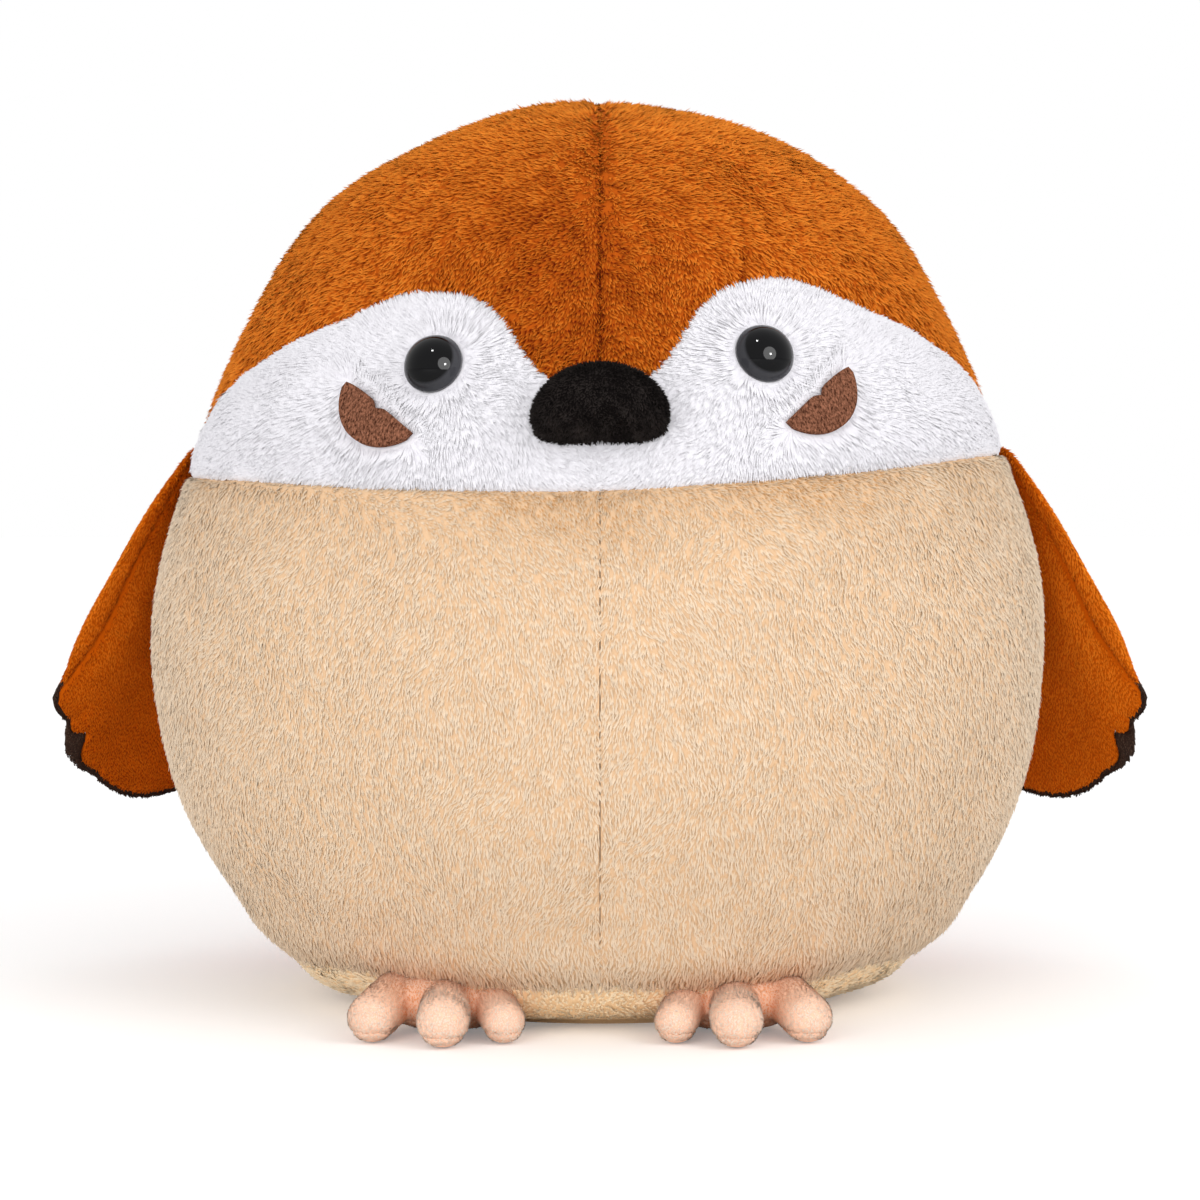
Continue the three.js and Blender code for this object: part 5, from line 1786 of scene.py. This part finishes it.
# %% [markdown]
# ## Feet
#
# Three stuffed toes grow out of one ankle. Each toe is the hull of two balls. All of them are melted into
# one skin by a voxel remesh, then cut along the sole seam. The plush is so short that the form shows.

# %% Foot forms
ANKLE_CENTRE, ANKLE_HALVES = np.array([0.0, -98.0, 12.5]), np.array([29.0, 18.0, 13.0])
TOES = [dict(radius=9.3, neck=9.8, side=-23.5, forward=127.0),
        dict(radius=11.0, neck=10.6, side=0.0, forward=136.0),
        dict(radius=10.5, neck=10.8, side=28.5, forward=125.0)]
TOE_SINK, TOE_ROOT_SHARE, TOE_ROOT_HEIGHT = 0.5, 0.72, 14.0
FOOT_SHIFTS = {"left": 53.5, "right": -61.5}
SOLE_HEIGHT = 5.0
FOOT_SKIN = 0.7
FOOT_VOXEL, FOOT_SOFTENING, FOOT_SOFTENING_STEPS = 1.25, 0.5, 6
BALL_SIDES, BALL_RINGS = 32, 17
TOE_SHADE, TOE_SHADE_REACH = 1.1, (-134.0, -112.0)
FOOT_COAT = dict(length=1.6, width=0.6, lean=77, lean_spread=5, roll=0.4, sink=0.1,
                 swirl=0.3, swirl_size=20, stray=0.25, clump_size=4, clump=0.2,
                 density=1.7, softness=0.93, mottle=0.35)


def ball_points(centre, halves):
    turn, lean = np.meshgrid(np.linspace(0, 2 * np.pi, BALL_SIDES, endpoint=False),
                             np.linspace(-1, 1, BALL_RINGS) * np.pi / 2)
    ring = np.stack([np.cos(turn) * np.cos(lean), np.sin(turn) * np.cos(lean), np.sin(lean)], -1)
    return centre + ring.reshape(-1, 3) * halves


def foot_form():
    """Points and four-sided faces of the whole left foot, before it is set in place."""
    hulls = [ball_points(ANKLE_CENTRE, ANKLE_HALVES - FOOT_SKIN)]
    for toe in TOES:
        tip = np.array([toe["side"], -toe["forward"], toe["radius"] - TOE_SINK])
        root = np.array([toe["side"] * TOE_ROOT_SHARE, ANKLE_CENTRE[1], TOE_ROOT_HEIGHT])
        hulls.append(np.concatenate([ball_points(tip, toe["radius"] - FOOT_SKIN),
                                     ball_points(root, toe["neck"] - FOOT_SKIN)]))
    work = bmesh.new()
    for hull in hulls:
        corners = [work.verts.new(point) for point in hull]
        made = bmesh.ops.convex_hull(work, input=corners)
        spare = {item for item in made["geom_interior"] + made["geom_unused"]
                 if isinstance(item, bmesh.types.BMVert)}
        bmesh.ops.delete(work, geom=list(spare), context="VERTS")
    bmesh.ops.recalc_face_normals(work, faces=work.faces)
    mesh = bpy.data.meshes.new("foot_form")
    work.to_mesh(mesh)
    work.free()
    holder = put("foot_form", mesh)
    melt = holder.modifiers.new("melt", "REMESH")
    melt.mode = "VOXEL"
    melt.voxel_size = FOOT_VOXEL
    soft = holder.modifiers.new("soft", "SMOOTH")
    soft.factor = FOOT_SOFTENING
    soft.iterations = FOOT_SOFTENING_STEPS
    done = holder.evaluated_get(bpy.context.evaluated_depsgraph_get()).to_mesh()
    points = np.array([v.co for v in done.vertices])
    faces = np.array([list(p.vertices) if len(p.vertices) == 4 else [*p.vertices, p.vertices[-1]]
                      for p in done.polygons])
    bpy.data.objects.remove(holder)
    bpy.data.meshes.remove(mesh)
    return points, faces


foot_points, foot_faces = foot_form()
print("foot form:", len(foot_points), "points, from", foot_points.min(0).round(1),
      "to", foot_points.max(0).round(1))

# %% Feet
FLOOR_GAP, BURIED_DEPTH = 0.05, 5.0
SOLE_SEAM_DEPTH, SOLE_SEAM_WIDTH, SOLE_SEAM_BACK = 0.9, 2.4, -100
FOOT_CLOTH, FOOT_PADDING_DEPTH, FOOT_PADDING_FLOOR = 1.2, 2.0, 1.6
FOOT_LOWEST_ROOT, FOOT_DEEPEST_ROOT = 1.5, 2
FOOT_NAP = np.array([0.0, -1.0, -0.5])


def foot_keep(roots):
    """No pile under the sole or deep in the body."""
    return (roots[:, 2] > FOOT_LOWEST_ROOT) & (depth_in_body(roots) < FOOT_DEEPEST_ROOT)


# Painted shade: the toes grow darker towards the ankle, under the body.
def toe_shade(roots):
    return -TOE_SHADE * smooth_step(roots[:, 1], *TOE_SHADE_REACH)


for side, sign in SIDES:
    points = foot_points * [sign, 1, 1] + [FOOT_SHIFTS[side], 0, 0]
    points[:, 2] = np.maximum(points[:, 2], FLOOR_GAP)
    faces = foot_faces if sign > 0 else foot_faces[:, ::-1]
    hidden = depth_in_body(points) > BURIED_DEPTH
    faces = faces[~hidden[faces].all(1)]
    from_seam = np.where(points[:, 1] < SOLE_SEAM_BACK, np.abs(points[:, 2] - SOLE_HEIGHT), np.inf)
    pinched = tucked(points, faces, from_seam, SOLE_SEAM_DEPTH, SOLE_SEAM_WIDTH)
    for part, chosen in (("sole", points[faces][:, :, 2].mean(1) < SOLE_HEIGHT),
                         ("top", points[faces][:, :, 2].mean(1) >= SOLE_HEIGHT)):
        cover(f"foot_{side}_{part}", "body", "peach_plush", materials["peach_plush"],
              (pinched, faces[chosen]), FOOT_CLOTH, FOOT_COAT, FOOT_NAP, (9, 51), foot_keep, toe_shade)
    inner = points - sheet_normals(points, faces) * FOOT_PADDING_DEPTH
    inner[:, 2] = np.maximum(inner[:, 2], FOOT_PADDING_FLOOR)
    add_filling(f"foot_{side}_padding", f"foot_{side}_filling", "body", inner, faces)

# %% Close the scene
bpy.data.objects.remove(tuft)
